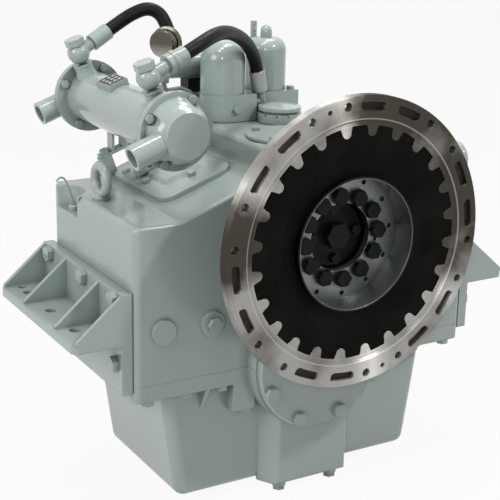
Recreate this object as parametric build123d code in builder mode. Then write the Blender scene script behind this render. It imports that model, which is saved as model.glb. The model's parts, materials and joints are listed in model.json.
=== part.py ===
from build123d import *
from math import acos, atan2, cos, degrees, pi, radians, sin, sqrt, tan
import os

os.makedirs("parts", exist_ok=True)

# Marine reversing gearbox with an elastic input coupling. Millimetres.
# The origin is the centre of the drive ring's front face, on the input axis.
# X is to the right seen from the ring, Y runs aft into the gearbox, Z is up.

# Fits and clearances
fit_clearance = 0.05
shaft_cover_gap = 0.5
rubber_gap = 0.3
curve_gap = 0.1

# Case
case_half_width = 321.0
case_front_y = 125.0
case_length = 317.0
case_wall = 12.0
case_edge_radius = 13.0
case_front_radius = 6.0
shoulder_z = 34.0
roof_foot_x = 243.0
roof_angle = 20.0
crown_left_x = -88.0
crown_right_x = 120.0
crown_top_z = 133.0

# Sump
flange_thickness = 27.0
sump_half_width = 262.0
sump_waist_half_width = 250.0
sump_bottom_half_width = 231.0
sump_waist_depth = 95.0
sump_depth = 225.0
sump_front_inset = 23.0
sump_rear_inset = 22.0
sump_corner_radius = 20.0

# Gear train
gear_module = 6.0
pinion_teeth = 21
output_teeth = 54
transfer_teeth = 32
pressure_angle = 20.0
tooth_backlash = 0.5
transfer_width = 30.0
transfer_front_y = 165.0
clutch_radius = 88.0
clutch_width = 88.0
clutch_front_y = 200.0
pinion_width = 60.0
pinion_front_y = 296.0

# Shafts and bearings
shaft_radius = 40.0
journal_radius = 35.0
output_shaft_radius = 50.0
output_journal_radius = 45.0
output_tail_radius = 42.0
bearing_radius = 60.0
output_bearing_radius = 85.0
bearing_width = 30.0
output_bearing_width = 34.0
bearing_boss_wall = 14.0

# Bearing covers
input_boss_radius = 118.0
input_boss_height = 7.0
input_cover_radius = 100.0
counter_cover_radius = 72.0
rear_cover_radius = 84.0
cover_thickness = 9.0
output_boss_height = 25.0
output_cover_radius = 115.0
output_cover_thickness = 12.0
output_cover_bolt_radius = 102.0
output_cover_bolt_flats = 22.0
cover_bolt_flats = 15.0
bolt_head_ratio = 0.45

# Drive ring
ring_radius = 233.35
ring_bolt_circle_radius = 219.075
ring_thickness = 16.0
ring_hole_radius = 6.75
ring_dowel_radius = 4.0
ring_phase = 16.0
ring_pair_half_angle = 8.53
ring_rim_inner_radius = 197.0
ring_web_inner_radius = 187.0
ring_web_recess = 3.5
ring_web_thickness = 9.5
lobe_count = 24
lobe_centre_radius = 178.0
lobe_tip_radius = 8.0
lobe_base_half_width = 12.0
slot_radius = 216.0
slot_width = 13.5
slot_half_angle = 5.9
slot_outer_corner = 3.0
slot_inner_corner = 7.0
slot_depth = 10.0
slot_pair_half_angle = 9.3

# Rubber disc, coupling cup and hub
cup_radius = 108.0
cup_wall = 3.5
cup_depth = 48.0
cup_floor = 12.0
cup_bore_radius = 55.0
cup_bolt_circle_radius = 68.0
cup_bolt_flats = 24.0
cup_bolt_radius = 8.0
cup_bolt_length = 20.0
cup_bolt_count = 12
cup_bolt_start = 4.5
cup_dimple_circle_radius = 94.0
cup_dimple_radius = 4.0
cup_dimple_depth = 6.0
rubber_thickness = 34.0
rubber_rim_thickness = 11.0
rubber_front_recess = 4.5
hub_radius = 100.0
hub_flange = 16.0
hub_barrel_radius = 48.0
hub_barrel_length = 30.0
retainer_radius = 52.0
retainer_thickness = 10.0
retainer_bolt_circle_radius = 41.0
retainer_bolt_flats = 16.0
shaft_bolt_flats = 38.0

# Output flange
flange_hub_radius = 58.0
flange_radius = 112.0
flange_disc = 18.0
flange_gap = 4.0
flange_hub_length = 22.0
flange_hole_circle_radius = 92.0
flange_hole_radius = 7.0
flange_hole_count = 8

# Side brackets
bracket_front_y = 131.0
bracket_length = 317.0
bracket_plate = 18.0
bracket_top_z = -70.0
bracket_bottom_z = -235.0
bracket_base_top_z = -140.0
bracket_base = 13.0
bracket_reach = 98.0
bracket_gusset = 7.5
bracket_corner_radius = 12.0
bracket_hole_inset = 32.0
bracket_hole_radius = 9.0
bracket_bolt_flats = 24.0
bracket_bolt_radius = 8.0

# Inspection cover on the left roof slope
inspection_u = 18.0
inspection_length = 134.0
inspection_front_y = 209.0
inspection_width = 205.0
inspection_plate = 7.0
inspection_rise = 5.0
inspection_corner_radius = 25.0

# Oil cooler
cooler_x = -232.0
cooler_z = 168.0
cooler_radius = 44.0
cooler_wall = 4.0
cooler_front_y = 163.0
cooler_length = 327.0
cooler_flange_radius = 61.5
cooler_flange = 6.0
cooler_bolt_radius = 53.0
cooler_tilt = 20.0
cap_depth = 39.0
nozzle_radius = 20.0
nozzle_bore_radius = 14.5
nozzle_reach = 88.4
nozzle_inset = 22.0
port_inset = 29.0
banjo_height = 83.0
banjo_radius = 19.0
banjo_cap_flats = 29.0

# Oil hoses
hose_radius = 11.5
cuff_radius = 14.5
cuff_length = 36.0

# Control block on the crown
block_left_x = -77.0
block_split_x = 9.0
block_right_x = 116.0
block_front_inset = 114.0
block_depth = 80.0
block_height = 46.0
rear_block_front_inset = 78.0
rear_block_depth = 76.0
rear_block_height = 40.0
dome_radius = 38.5
dome_height = 88.0
filter_x = 70.0
filter_radius = 36.0
filter_height = 91.0
filler_x = 42.0
filler_inset = 57.0
filler_radius = 38.0
filler_height = 17.0
lever_length = 134.0

# Eye bolts
eye_radius = 31.0
eye_wire_radius = 8.25
eye_height = 31.3
eye_collar_radius = 15.0

# Values that follow from the ones above
pinion_radius = gear_module * pinion_teeth / 2
output_gear_radius = gear_module * output_teeth / 2
transfer_radius = gear_module * transfer_teeth / 2
shaft_drop = pinion_radius + output_gear_radius
split_z = -shaft_drop
counter_z = -2 * transfer_radius**2 / shaft_drop
counter_x = sqrt((2 * transfer_radius) ** 2 - counter_z**2)
case_rear_y = case_front_y + case_length
roof_slope = tan(radians(roof_angle))
crown_left_foot_z = shoulder_z + (roof_foot_x + crown_left_x) * roof_slope
crown_right_foot_z = shoulder_z + (roof_foot_x - crown_right_x) * roof_slope
flange_bottom_z = split_z - flange_thickness
sump_bottom_z = split_z - sump_depth
sump_front_y = case_front_y + sump_front_inset
sump_rear_y = case_rear_y - sump_rear_inset
bearing_front_y = case_front_y - input_boss_height + 2
bearing_rear_y = case_rear_y - 4
left_eye = (29 - case_half_width, case_rear_y - 134)
right_eye = (case_half_width - 19, case_front_y + 21)
block_front_y = case_rear_y - block_front_inset
rear_block_front_y = case_rear_y - rear_block_front_inset
filler_y = rear_block_front_y - filler_inset


def front(y):
    """A plane across the gearbox that faces forward; its axes are X and Z."""
    return Plane(origin=(0, y, 0), x_dir=(1, 0, 0), z_dir=(0, -1, 0))


def aft(x, y, z):
    """A plane on a shaft line whose normal runs aft."""
    return Plane(origin=(x, y, z), x_dir=(1, 0, 0), z_dir=(0, 1, 0))


def side(x):
    """A plane along the gearbox that faces right; its axes are Y and Z."""
    return Plane(origin=(x, 0, 0), x_dir=(0, 1, 0), z_dir=(1, 0, 0))


def turned(profile, plane):
    """A solid of revolution about the plane's normal, from (radius, height) points."""
    section = Plane(origin=plane.origin, x_dir=plane.x_dir, z_dir=-plane.y_dir)
    with BuildPart() as body:
        with BuildSketch(section):
            with BuildLine():
                Polyline(*profile, close=True)
            make_face()
        revolve(axis=Axis(plane.origin, plane.z_dir))
    return body.part


def bolt(flats, shank_radius=0.0, shank_length=0.0):
    """A hexagon bolt that stands on XY, its shank below."""
    with BuildPart() as body:
        with BuildSketch():
            RegularPolygon(flats / 2, 6, major_radius=False)
        extrude(amount=flats * bolt_head_ratio)
        if shank_length > 0:
            Cylinder(shank_radius, shank_length, align=(Align.CENTER, Align.CENTER, Align.MAX))
    return body.part


def gear(teeth, front_y, width, bore, x, z, tooth_angle):
    """A spur gear on a shaft line, with one tooth at the given angle from X towards Z.

    Each flank is the chord of the involute between the root and the tip circle.
    """
    pitch = gear_module * teeth / 2
    root = pitch - 1.25 * gear_module
    tip = pitch + gear_module
    base = pitch * cos(radians(pressure_angle))
    involute = tan(radians(pressure_angle)) - radians(pressure_angle)
    half_pitch = pi / (2 * teeth) - tooth_backlash / (2 * pitch)
    flank = max(root, base)
    root_half = half_pitch + involute - (tan(acos(base / flank)) - acos(base / flank))
    tip_half = half_pitch + involute - (tan(acos(base / tip)) - acos(base / tip))
    points = []
    for tooth in range(teeth):
        middle = radians(tooth_angle) + 2 * pi * tooth / teeth
        for radius, turn in ((root, -root_half), (tip, -tip_half), (tip, tip_half), (root, root_half)):
            points.append((radius * cos(middle + turn), radius * sin(middle + turn)))
    with BuildPart() as body:
        with BuildSketch(Plane(origin=(x, front_y, z), x_dir=(1, 0, 0), z_dir=(0, -1, 0))):
            Polygon(*points, align=None)
            Circle(bore, mode=Mode.SUBTRACT)
        extrude(amount=-width)
    return body.part


def mesh_angle(teeth, mate_teeth, mate_angle, line_angle):
    """The angle of a tooth that meshes with a mate, across the line from this gear to the mate."""
    mate_offset = line_angle + 180 - mate_angle
    phase = mate_offset * mate_teeth / 360 % 1
    return line_angle + (phase + 0.5) * 360 / teeth


# Upper case: one casting with a sloping roof, a crown and the upper half of the output boss
case_outline = [
    (-case_half_width, split_z),
    (case_half_width, split_z),
    (case_half_width, shoulder_z),
    (roof_foot_x, shoulder_z),
    (crown_right_x, crown_right_foot_z),
    (crown_right_x, crown_top_z),
    (crown_left_x, crown_top_z),
    (crown_left_x, crown_left_foot_z),
    (-roof_foot_x, shoulder_z),
    (-case_half_width, shoulder_z),
]
cavity_outline = [(x, z - case_wall if z == split_z else z) for x, z in case_outline]

roof = Plane(
    origin=(-roof_foot_x, 0, shoulder_z),
    x_dir=(cos(radians(roof_angle)), 0, sin(radians(roof_angle))),
    z_dir=(-sin(radians(roof_angle)), 0, cos(radians(roof_angle))),
)

# Cooler bar heights above the roof, from the roof plane
cooler_foot = roof.to_local_coords(Vector(cooler_x, 0, cooler_z))
cooler_bar_width = 20.0
cooler_bar = 5.0
cooler_bar_half_length = 42.0
cooler_leg = 4.5
rear_bar_y = case_rear_y - 26
rear_bar_height = 33.9
front_bar_y = 330.0
rear_boss_length = 16.0
window_margin = 30.0

pocket_radius = 43.0
pocket_x = -case_half_width - 14
pocket_y = case_rear_y - 61
pocket_floor_z = shoulder_z - 37
pocket_wall = 6.5
eye_pad_height = 11.0
eye_seat_radius = 19.0
dipstick_x = 15 - case_half_width
dipstick_y = pocket_y + 8
dipstick_radius = 2.0
plug_boss_radius = 21.0
plug_boss_height = 6.5
plug_boss_spots = [(-271.5, -138.3), (-185.4, -138.8)]

with BuildPart() as upper_case:
    with BuildSketch(front(case_front_y)):
        with BuildLine():
            Polyline(*case_outline, close=True)
        make_face()
    extrude(amount=-case_length)
    long_edges = upper_case.edges().filter_by(Axis.Y)
    round_edges = long_edges.filter_by(lambda e: e.center().Z > split_z + 1)
    upright = upper_case.edges().filter_by(Axis.Z).filter_by(lambda e: abs(e.center().X) > roof_foot_x)
    fillet(round_edges + upright, case_edge_radius)
    front_edges = upper_case.faces().sort_by(Axis.Y)[0].edges().filter_by(lambda e: e.center().Z > split_z + 1)
    fillet(front_edges, case_front_radius)
    with BuildSketch(front(case_front_y + case_wall)):
        with BuildLine():
            Polyline(*cavity_outline, close=True)
        make_face()
        offset(amount=-case_wall, kind=Kind.INTERSECTION)
    extrude(amount=-(case_length - 2 * case_wall), mode=Mode.SUBTRACT)
    # Bearing bosses, inside and outside the end walls
    for x, z, radius, height, boss_radius in (
        (0, 0, bearing_radius, input_boss_height, input_boss_radius),
        (counter_x, counter_z, bearing_radius, input_boss_height, counter_cover_radius),
        (0, split_z, output_bearing_radius, output_boss_height, output_cover_radius + 3),
    ):
        add(turned([(0, case_front_y - height), (boss_radius, case_front_y - height),
                    (boss_radius, case_front_y + case_wall / 2), (0, case_front_y + case_wall / 2)],
                    aft(x, 0, z)))
        for y, depth in ((case_front_y + case_wall / 2, 26), (case_rear_y - case_wall / 2 - 26, 26)):
            add(turned([(0, y), (radius + bearing_boss_wall, y),
                        (radius + bearing_boss_wall, y + depth), (0, y + depth)], aft(x, 0, z)))
    for x, z in plug_boss_spots:
        with BuildSketch(front(case_front_y)):
            with Locations((x, z)):
                Circle(plug_boss_radius)
        extrude(amount=plug_boss_height)
    split(bisect_by=Plane.XY.offset(split_z), keep=Keep.TOP)
    # Seats on the roof for the cooler's rear bar, and the pads of the eye bolts
    for u in (cooler_foot.X - cooler_bar_half_length + 8, cooler_foot.X + cooler_bar_half_length - 8):
        with BuildSketch(roof.offset(rear_bar_height)):
            with Locations((u, rear_bar_y + cooler_bar_width / 2)):
                RectangleRounded(rear_boss_length * 1.5, cooler_bar_width, 6)
        extrude(amount=-rear_bar_height - 14)
    with BuildSketch(Plane.XY.offset(shoulder_z)):
        with Locations(right_eye):
            RectangleRounded(2 * eye_seat_radius, 2 * eye_seat_radius, 8)
    extrude(amount=eye_pad_height)
    with BuildSketch(Plane.XY.offset(shoulder_z - case_wall * 1.5)):
        with Locations(left_eye, right_eye):
            Circle(eye_seat_radius)
    extrude(amount=case_wall)
    # Corner pocket round the dipstick, with its own wall inside the case
    with BuildSketch(Plane.XY.offset(shoulder_z - 1)):
        with Locations((pocket_x, pocket_y)):
            Circle(pocket_radius + pocket_wall)
    extrude(amount=pocket_floor_z - shoulder_z - pocket_wall + 1)
    with BuildSketch(Plane.XY.offset(pocket_floor_z)):
        with Locations((pocket_x, pocket_y)):
            Circle(pocket_radius)
    extrude(amount=shoulder_z - pocket_floor_z + 60, mode=Mode.SUBTRACT)
    split(bisect_by=side(-case_half_width), keep=Keep.TOP)
    with BuildSketch(Plane.XY.offset(pocket_floor_z)):
        with Locations((dipstick_x, dipstick_y)):
            Circle(dipstick_radius + fit_clearance * 2)
    extrude(amount=-2 * pocket_wall, mode=Mode.SUBTRACT)
    # Bearing bores, the window under the inspection cover and the oil filler hole
    for x, z, radius in (
        (0, 0, bearing_radius),
        (counter_x, counter_z, bearing_radius),
        (0, split_z, output_bearing_radius),
    ):
        add(turned([(0, -case_length), (radius, -case_length), (radius, 2 * case_length),
                    (0, 2 * case_length)],
                   aft(x, case_front_y, z)), mode=Mode.SUBTRACT)
    with BuildSketch(roof.offset(1)):
        with Locations((inspection_u + inspection_length / 2, inspection_front_y + inspection_width / 2)):
            Rectangle(inspection_length - 2 * window_margin, inspection_width - 2 * window_margin)
    extrude(amount=-case_wall - 8, mode=Mode.SUBTRACT)
upper_case.part.label = "upper_case"
export_step(upper_case.part, "parts/upper_case.step")

# Lower case: split flange, sump pan and the lower half of the output boss
def sump_section(inset, top_z):
    """Corners of the pan's section across the gearbox, moved inwards by the inset."""
    return [
        (-sump_half_width + inset, top_z),
        (sump_half_width - inset, top_z),
        (sump_waist_half_width - inset, split_z - sump_waist_depth),
        (sump_bottom_half_width - inset, sump_bottom_z + inset),
        (-sump_bottom_half_width + inset, sump_bottom_z + inset),
        (-sump_waist_half_width + inset, split_z - sump_waist_depth),
    ]


lug_inner_x = output_bearing_radius + bearing_boss_wall + 4
lug_width = 41.0
lug_depth = 76.0
lug_rear_y = case_front_y + 26
output_boss_y = case_front_y - output_boss_height
lug_bolt_x = lug_inner_x + 12
column_front_y = case_front_y - 12
column_left_x = -60.0
column_right_x = 74.0
column_flare = 20.0
column_edge_radius = 8.0
drain_radius = 12.0
drain_boss_height = 5.0
drain_spots = [(-50.0, case_front_y + 3), (53.0, case_front_y + 3)]
rib_share = 0.453
rib_depth = 44.0
rib_thickness = 8.0
flange_bolt_inset = 11.0
flange_bolt_outer = case_half_width - 28
flange_bolt_inner = lug_inner_x + lug_width + 17
middle_bolt_share = 0.485
flange_bolt_middle = flange_bolt_inner + middle_bolt_share * (flange_bolt_outer - flange_bolt_inner)
rib_x = flange_bolt_inner + rib_share * (flange_bolt_middle - flange_bolt_inner)
front_bolt_offsets = [flange_bolt_inner, flange_bolt_middle, flange_bolt_outer]
rear_bolt_offsets = [output_cover_radius + 5, flange_bolt_outer - 93, flange_bolt_outer]
flange_bolt_spots = [(sign * x, case_front_y + flange_bolt_inset) for sign in (-1, 1)
                     for x in front_bolt_offsets]
flange_bolt_spots += [(sign * x, case_rear_y - flange_bolt_inset) for sign in (-1, 1)
                      for x in rear_bolt_offsets]

with BuildPart() as lower_case:
    with BuildSketch(front(case_front_y)):
        with Locations((0, split_z - flange_thickness / 2)):
            Rectangle(2 * case_half_width, flange_thickness)
    extrude(amount=-case_length)
    fillet(lower_case.edges().filter_by(Axis.Z), case_edge_radius)
    with BuildPart(mode=Mode.PRIVATE) as pan:
        with BuildSketch(front(sump_front_y)):
            Polygon(*sump_section(0, split_z), align=None)
        extrude(amount=sump_front_y - sump_rear_y)
        low_edges = pan.edges().filter_by(lambda e: e.center().Z < split_z - 1)
        fillet(low_edges.filter_by(lambda e: abs(e.center().Z - split_z + sump_waist_depth) > 1),
               sump_corner_radius)
    add(pan.part)
    # Bearing column in front of the pan, down to its floor, its sides flared back to the pan
    with BuildPart(mode=Mode.PRIVATE) as column:
        with BuildSketch(Plane.XY.offset(sump_bottom_z)):
            Polygon((column_left_x, column_front_y), (column_right_x, column_front_y),
                    (column_right_x + column_flare, sump_front_y),
                    (column_right_x + column_flare, sump_front_y + 6),
                    (column_left_x - column_flare, sump_front_y + 6),
                    (column_left_x - column_flare, sump_front_y),
                    align=None)
        extrude(amount=split_z - sump_bottom_z)
        front_low = column.edges().filter_by(lambda e: e.center().Y < column_front_y + 1)
        fillet(front_low.filter_by(lambda e: e.center().Z < split_z - 1), column_edge_radius)
    add(column.part)
    # Ribs between the split flange and the pan
    for x in (-rib_x, rib_x):
        with BuildSketch(side(x - rib_thickness / 2)):
            Polygon((case_front_y + 2, flange_bottom_z + 1), (sump_front_y + 2, flange_bottom_z + 1),
                    (sump_front_y + 2, flange_bottom_z - rib_depth),
                    (case_front_y + 2, flange_bottom_z - 2), align=None)
        extrude(amount=rib_thickness)
    add(turned([(0, output_boss_y), (output_cover_radius + 3, output_boss_y),
                (output_cover_radius + 3, case_front_y + 6), (0, case_front_y + 6)], aft(0, 0, split_z)))
    # Bolting lugs beside the output bearing
    for x in (-lug_inner_x - lug_width / 2, lug_inner_x + lug_width / 2):
        with BuildSketch(front(case_front_y)):
            with Locations((x, split_z - lug_depth / 2)):
                Rectangle(lug_width, lug_depth)
        extrude(amount=case_front_y - lug_rear_y)
    with BuildSketch(front(case_front_y + case_wall)):
        with Locations((0, split_z - flange_thickness / 2)):
            Rectangle(2 * (sump_half_width - case_wall), flange_thickness + 2)
    extrude(amount=-(case_length - 2 * case_wall), mode=Mode.SUBTRACT)
    with BuildSketch(front(sump_front_y + case_wall)):
        Polygon(*sump_section(case_wall, split_z + 1), align=None)
    extrude(amount=sump_front_y - sump_rear_y + 2 * case_wall, mode=Mode.SUBTRACT)
    for y in (case_front_y + case_wall / 2, case_rear_y - case_wall / 2 - 26):
        add(turned([(0, y), (output_bearing_radius + bearing_boss_wall, y),
                    (output_bearing_radius + bearing_boss_wall, y + 26), (0, y + 26)], aft(0, 0, split_z)))
    split(bisect_by=Plane.XY.offset(split_z), keep=Keep.BOTTOM)
    add(turned([(0, -case_length), (output_bearing_radius, -case_length),
                (output_bearing_radius, 2 * case_length), (0, 2 * case_length)],
               aft(0, case_front_y, split_z)), mode=Mode.SUBTRACT)
    # Drain bosses under the column
    with BuildSketch(Plane.XY.offset(sump_bottom_z - drain_boss_height)):
        with Locations(*drain_spots):
            Circle(drain_radius)
    extrude(amount=drain_boss_height + column_edge_radius)
lower_case.part.label = "lower_case"
export_step(lower_case.part, "parts/lower_case.step")

# Bolts of the split flange, put in from below
flange_bolt_flats = 19.0
with BuildPart() as split_bolts:
    with Locations(*[Location((x, y, flange_bottom_z), (180, 0, 0)) for x, y in flange_bolt_spots]):
        add(bolt(flange_bolt_flats))
    with Locations(*[Location((x, case_front_y + flange_bolt_inset, split_z - lug_depth), (180, 0, 0))
                     for x in (-lug_bolt_x, lug_bolt_x)]):
        add(bolt(flange_bolt_flats))
split_bolts.part.label = "split_bolts"
export_step(split_bolts.part, "parts/split_bolts.step")

# Bearing covers on the front wall
with BuildPart() as output_cover_front:
    add(turned([(0, output_boss_y - output_cover_thickness),
                (output_cover_radius - 3, output_boss_y - output_cover_thickness),
                (output_cover_radius, output_boss_y - output_cover_thickness + 3),
                (output_cover_radius, output_boss_y),
                (output_bearing_radius - fit_clearance, output_boss_y),
                (output_bearing_radius - fit_clearance, output_boss_y + 8),
                (0, output_boss_y + 8)], aft(0, 0, split_z)))
output_cover_front.part.label = "output_cover_front"
export_step(output_cover_front.part, "parts/output_cover_front.step")

front_seat_y = case_front_y - input_boss_height
with BuildPart() as input_covers_front:
    add(turned([(journal_radius + shaft_cover_gap, front_seat_y - cover_thickness),
                (input_cover_radius, front_seat_y - cover_thickness),
                (input_cover_radius, front_seat_y), (journal_radius + shaft_cover_gap, front_seat_y)],
                aft(0, 0, 0)))
    add(turned([(0, front_seat_y - cover_thickness),
                (counter_cover_radius - 2, front_seat_y - cover_thickness),
                (counter_cover_radius, front_seat_y - cover_thickness + 2),
                (counter_cover_radius, front_seat_y), (0, front_seat_y)], aft(counter_x, 0, counter_z)))
input_covers_front.part.label = "input_covers_front"
export_step(input_covers_front.part, "parts/input_covers_front.step")

# Bearing covers on the rear wall; the output shaft passes through its own
output_seal_length = 25.0
with BuildPart() as rear_covers:
    for x, z in ((0, 0), (counter_x, counter_z)):
        add(turned([(0, case_rear_y), (rear_cover_radius, case_rear_y),
                    (rear_cover_radius, case_rear_y + cover_thickness),
                    (bearing_radius, case_rear_y + cover_thickness),
                    (bearing_radius - 8, case_rear_y + 2 * cover_thickness),
                    (0, case_rear_y + 2 * cover_thickness)],
                   aft(x, 0, z)))
    add(turned([(output_tail_radius + shaft_cover_gap, case_rear_y), (output_cover_radius, case_rear_y),
                (output_cover_radius, case_rear_y + output_cover_thickness),
                (output_tail_radius + 24, case_rear_y + output_cover_thickness),
                (output_tail_radius + 16, case_rear_y + output_seal_length),
                (output_tail_radius + shaft_cover_gap, case_rear_y + output_seal_length)],
                aft(0, 0, split_z)))
rear_covers.part.label = "rear_covers"
export_step(rear_covers.part, "parts/rear_covers.step")

with BuildPart() as cover_bolts:
    for x, z, y, turn, radius, count, start, flats in (
        (0, split_z, output_boss_y - output_cover_thickness, 90, output_cover_bolt_radius, 8, 22.5,
         output_cover_bolt_flats),
        (0, 0, front_seat_y - cover_thickness, 90, input_cover_radius - 12, 6, 30, cover_bolt_flats),
        (counter_x, counter_z, front_seat_y - cover_thickness, 90, counter_cover_radius - 9, 6, 30,
         cover_bolt_flats),
        (0, 0, case_rear_y + cover_thickness, -90, rear_cover_radius - 12, 6, 30, cover_bolt_flats),
        (counter_x, counter_z, case_rear_y + cover_thickness, -90, rear_cover_radius - 12, 6, 30,
         cover_bolt_flats),
        (0, split_z, case_rear_y + output_cover_thickness, -90, output_cover_bolt_radius, 8, 22.5,
         output_cover_bolt_flats),
    ):
        for number in range(count):
            angle = radians(start + 360 * number / count)
            spot = (x + radius * cos(angle), y, z + radius * sin(angle))
            with Locations(Location(spot, (turn, 0, 0))):
                add(bolt(flats))
cover_bolts.part.label = "cover_bolts"
export_step(cover_bolts.part, "parts/cover_bolts.step")

# Drive ring: a bright machined ring with lobes that grip the rubber
def lobes(y, gap, depth):
    """The lobes of the ring as solids, grown by a gap all round."""
    with BuildPart() as body:
        with BuildSketch(front(y)):
            with PolarLocations(0, lobe_count, start_angle=90 + ring_phase + 180 / lobe_count):
                with Locations((lobe_centre_radius, 0)):
                    Circle(lobe_tip_radius + gap)
                Polygon((ring_web_inner_radius + 3, -lobe_base_half_width - gap),
                        (ring_web_inner_radius + 3, lobe_base_half_width + gap),
                        (lobe_centre_radius, lobe_tip_radius + gap),
                        (lobe_centre_radius, -lobe_tip_radius - gap), align=None)
        extrude(amount=-depth)
    return body.part


web_rear_y = ring_web_recess + ring_web_thickness
with BuildPart() as drive_ring:
    add(turned([(ring_web_inner_radius, ring_web_recess), (ring_rim_inner_radius - 4, ring_web_recess),
                (ring_rim_inner_radius, 0), (ring_radius - 1, 0), (ring_radius, 1),
                (ring_radius, ring_thickness), (ring_rim_inner_radius, ring_thickness),
                (ring_rim_inner_radius, web_rear_y), (ring_web_inner_radius, web_rear_y)], aft(0, 0, 0)))
    add(lobes(ring_web_recess, 0, ring_web_thickness))
    with BuildSketch(front(0)):
        for turn in (-ring_pair_half_angle, ring_pair_half_angle):
            with PolarLocations(ring_bolt_circle_radius, 6, start_angle=90 + ring_phase + turn):
                Circle(ring_hole_radius)
        with PolarLocations(ring_bolt_circle_radius, 2, start_angle=90 + ring_phase):
            Circle(ring_dowel_radius)
    extrude(amount=-ring_thickness, mode=Mode.SUBTRACT)
    with BuildSketch(front(0)):
        for number in range(6):
            for turn in (-slot_pair_half_angle, slot_pair_half_angle):
                start = 90 + ring_phase + 30 + 60 * number + turn - slot_half_angle
                with BuildLine():
                    outer_arc = CenterArc((0, 0), slot_radius + slot_width / 2, start, 2 * slot_half_angle)
                    inner_arc = CenterArc((0, 0), slot_radius - slot_width / 2, start, 2 * slot_half_angle)
                    Line(outer_arc @ 0, inner_arc @ 0)
                    Line(outer_arc @ 1, inner_arc @ 1)
                make_face()
        fillet(vertices().filter_by(lambda v: v.center().length > slot_radius), slot_outer_corner)
        fillet(vertices().filter_by(lambda v: v.center().length < slot_radius), slot_inner_corner)
    extrude(amount=-slot_depth, mode=Mode.SUBTRACT)
drive_ring.part.label = "drive_ring"
export_step(drive_ring.part, "parts/drive_ring.step")

# Rubber disc: notched round the lobes, bonded to the cup
rubber_inner = cup_radius + fit_clearance
rubber_outer = ring_web_inner_radius - rubber_gap
with BuildPart() as rubber_disc:
    add(turned([(rubber_inner, rubber_front_recess + 6), (rubber_inner + 24, rubber_front_recess + 5),
                (rubber_inner + 40, rubber_front_recess), (rubber_outer, rubber_front_recess),
                (rubber_outer, rubber_front_recess + rubber_rim_thickness),
                (lobe_centre_radius - lobe_tip_radius - 6, rubber_front_recess + rubber_rim_thickness + 2),
                (rubber_inner + 45, rubber_front_recess + rubber_thickness - 4),
                (rubber_inner, rubber_front_recess + rubber_thickness)], aft(0, 0, 0)))
    add(lobes(0, rubber_gap, ring_thickness * 2), mode=Mode.SUBTRACT)
rubber_disc.part.label = "rubber_disc"
export_step(rubber_disc.part, "parts/rubber_disc.step")

# Coupling cup with its ring of bolts and a ring of small blind holes outside it
hub_front_y = cup_depth + cup_floor
with BuildPart() as coupling_cup:
    add(turned([(cup_radius - cup_wall, 0), (cup_radius, 0), (cup_radius, hub_front_y),
                (cup_bore_radius, hub_front_y), (cup_bore_radius, cup_depth),
                (cup_radius - cup_wall - 1.5, cup_depth)], aft(0, 0, 0)))
    with BuildSketch(front(cup_depth)):
        with PolarLocations(cup_bolt_circle_radius, cup_bolt_count, start_angle=cup_bolt_start):
            Circle(cup_bolt_radius + curve_gap)
    extrude(amount=-cup_floor, mode=Mode.SUBTRACT)
    with BuildSketch(front(cup_depth)):
        with PolarLocations(cup_dimple_circle_radius, cup_bolt_count, start_angle=cup_bolt_start):
            Circle(cup_dimple_radius)
        with PolarLocations(cup_bolt_circle_radius, 1, start_angle=cup_bolt_start - 180 / cup_bolt_count):
            Circle(cup_dimple_radius - 1)
    extrude(amount=-cup_dimple_depth, mode=Mode.SUBTRACT)
coupling_cup.part.label = "coupling_cup"
export_step(coupling_cup.part, "parts/coupling_cup.step")

# Hub behind the cup, keyed to the input shaft
hub_rear_y = hub_front_y + hub_flange + hub_barrel_length
shaft_nose_y = hub_front_y + hub_flange + 2
shaft_fit = journal_radius + fit_clearance
with BuildPart() as input_hub:
    add(turned([(cup_bore_radius, hub_front_y), (hub_radius, hub_front_y),
                (hub_radius, hub_front_y + hub_flange),
                (hub_barrel_radius + 14, hub_front_y + hub_flange),
                (hub_barrel_radius, hub_front_y + hub_flange + 14),
                (hub_barrel_radius, hub_rear_y), (shaft_fit, hub_rear_y), (shaft_fit, shaft_nose_y),
                (cup_bore_radius, shaft_nose_y)], aft(0, 0, 0)))
    with BuildSketch(front(hub_front_y)):
        with PolarLocations(cup_bolt_circle_radius, cup_bolt_count, start_angle=cup_bolt_start):
            Circle(cup_bolt_radius + curve_gap)
    extrude(amount=cup_floor - cup_bolt_length - 1, mode=Mode.SUBTRACT)
input_hub.part.label = "input_hub"
export_step(input_hub.part, "parts/input_hub.step")

with BuildPart() as shaft_retainer:
    add(turned([(0, shaft_nose_y - retainer_thickness), (retainer_radius, shaft_nose_y - retainer_thickness),
                (retainer_radius, shaft_nose_y), (0, shaft_nose_y)], aft(0, 0, 0)))
shaft_retainer.part.label = "shaft_retainer"
export_step(shaft_retainer.part, "parts/shaft_retainer.step")

# Black bolts that hold the cup to the hub, and those on the retaining plate
with BuildPart() as hub_bolts:
    for number in range(cup_bolt_count):
        angle = radians(cup_bolt_start + 360 * number / cup_bolt_count)
        spot = (cup_bolt_circle_radius * cos(angle), cup_depth, cup_bolt_circle_radius * sin(angle))
        with Locations(Location(spot, (90, 0, 0))):
            add(bolt(cup_bolt_flats, cup_bolt_radius, cup_bolt_length))
    with BuildSketch(front(shaft_nose_y - retainer_thickness)):
        with PolarLocations(retainer_bolt_circle_radius, 4, start_angle=5):
            RegularPolygon(retainer_bolt_flats / 2, 6, major_radius=False)
    extrude(amount=retainer_bolt_flats * bolt_head_ratio)
    with BuildSketch(front(shaft_nose_y - retainer_thickness)):
        RegularPolygon(shaft_bolt_flats / 2, 6, major_radius=False)
    extrude(amount=shaft_bolt_flats * bolt_head_ratio)
hub_bolts.part.label = "hub_bolts"
export_step(hub_bolts.part, "parts/hub_bolts.step")

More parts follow.
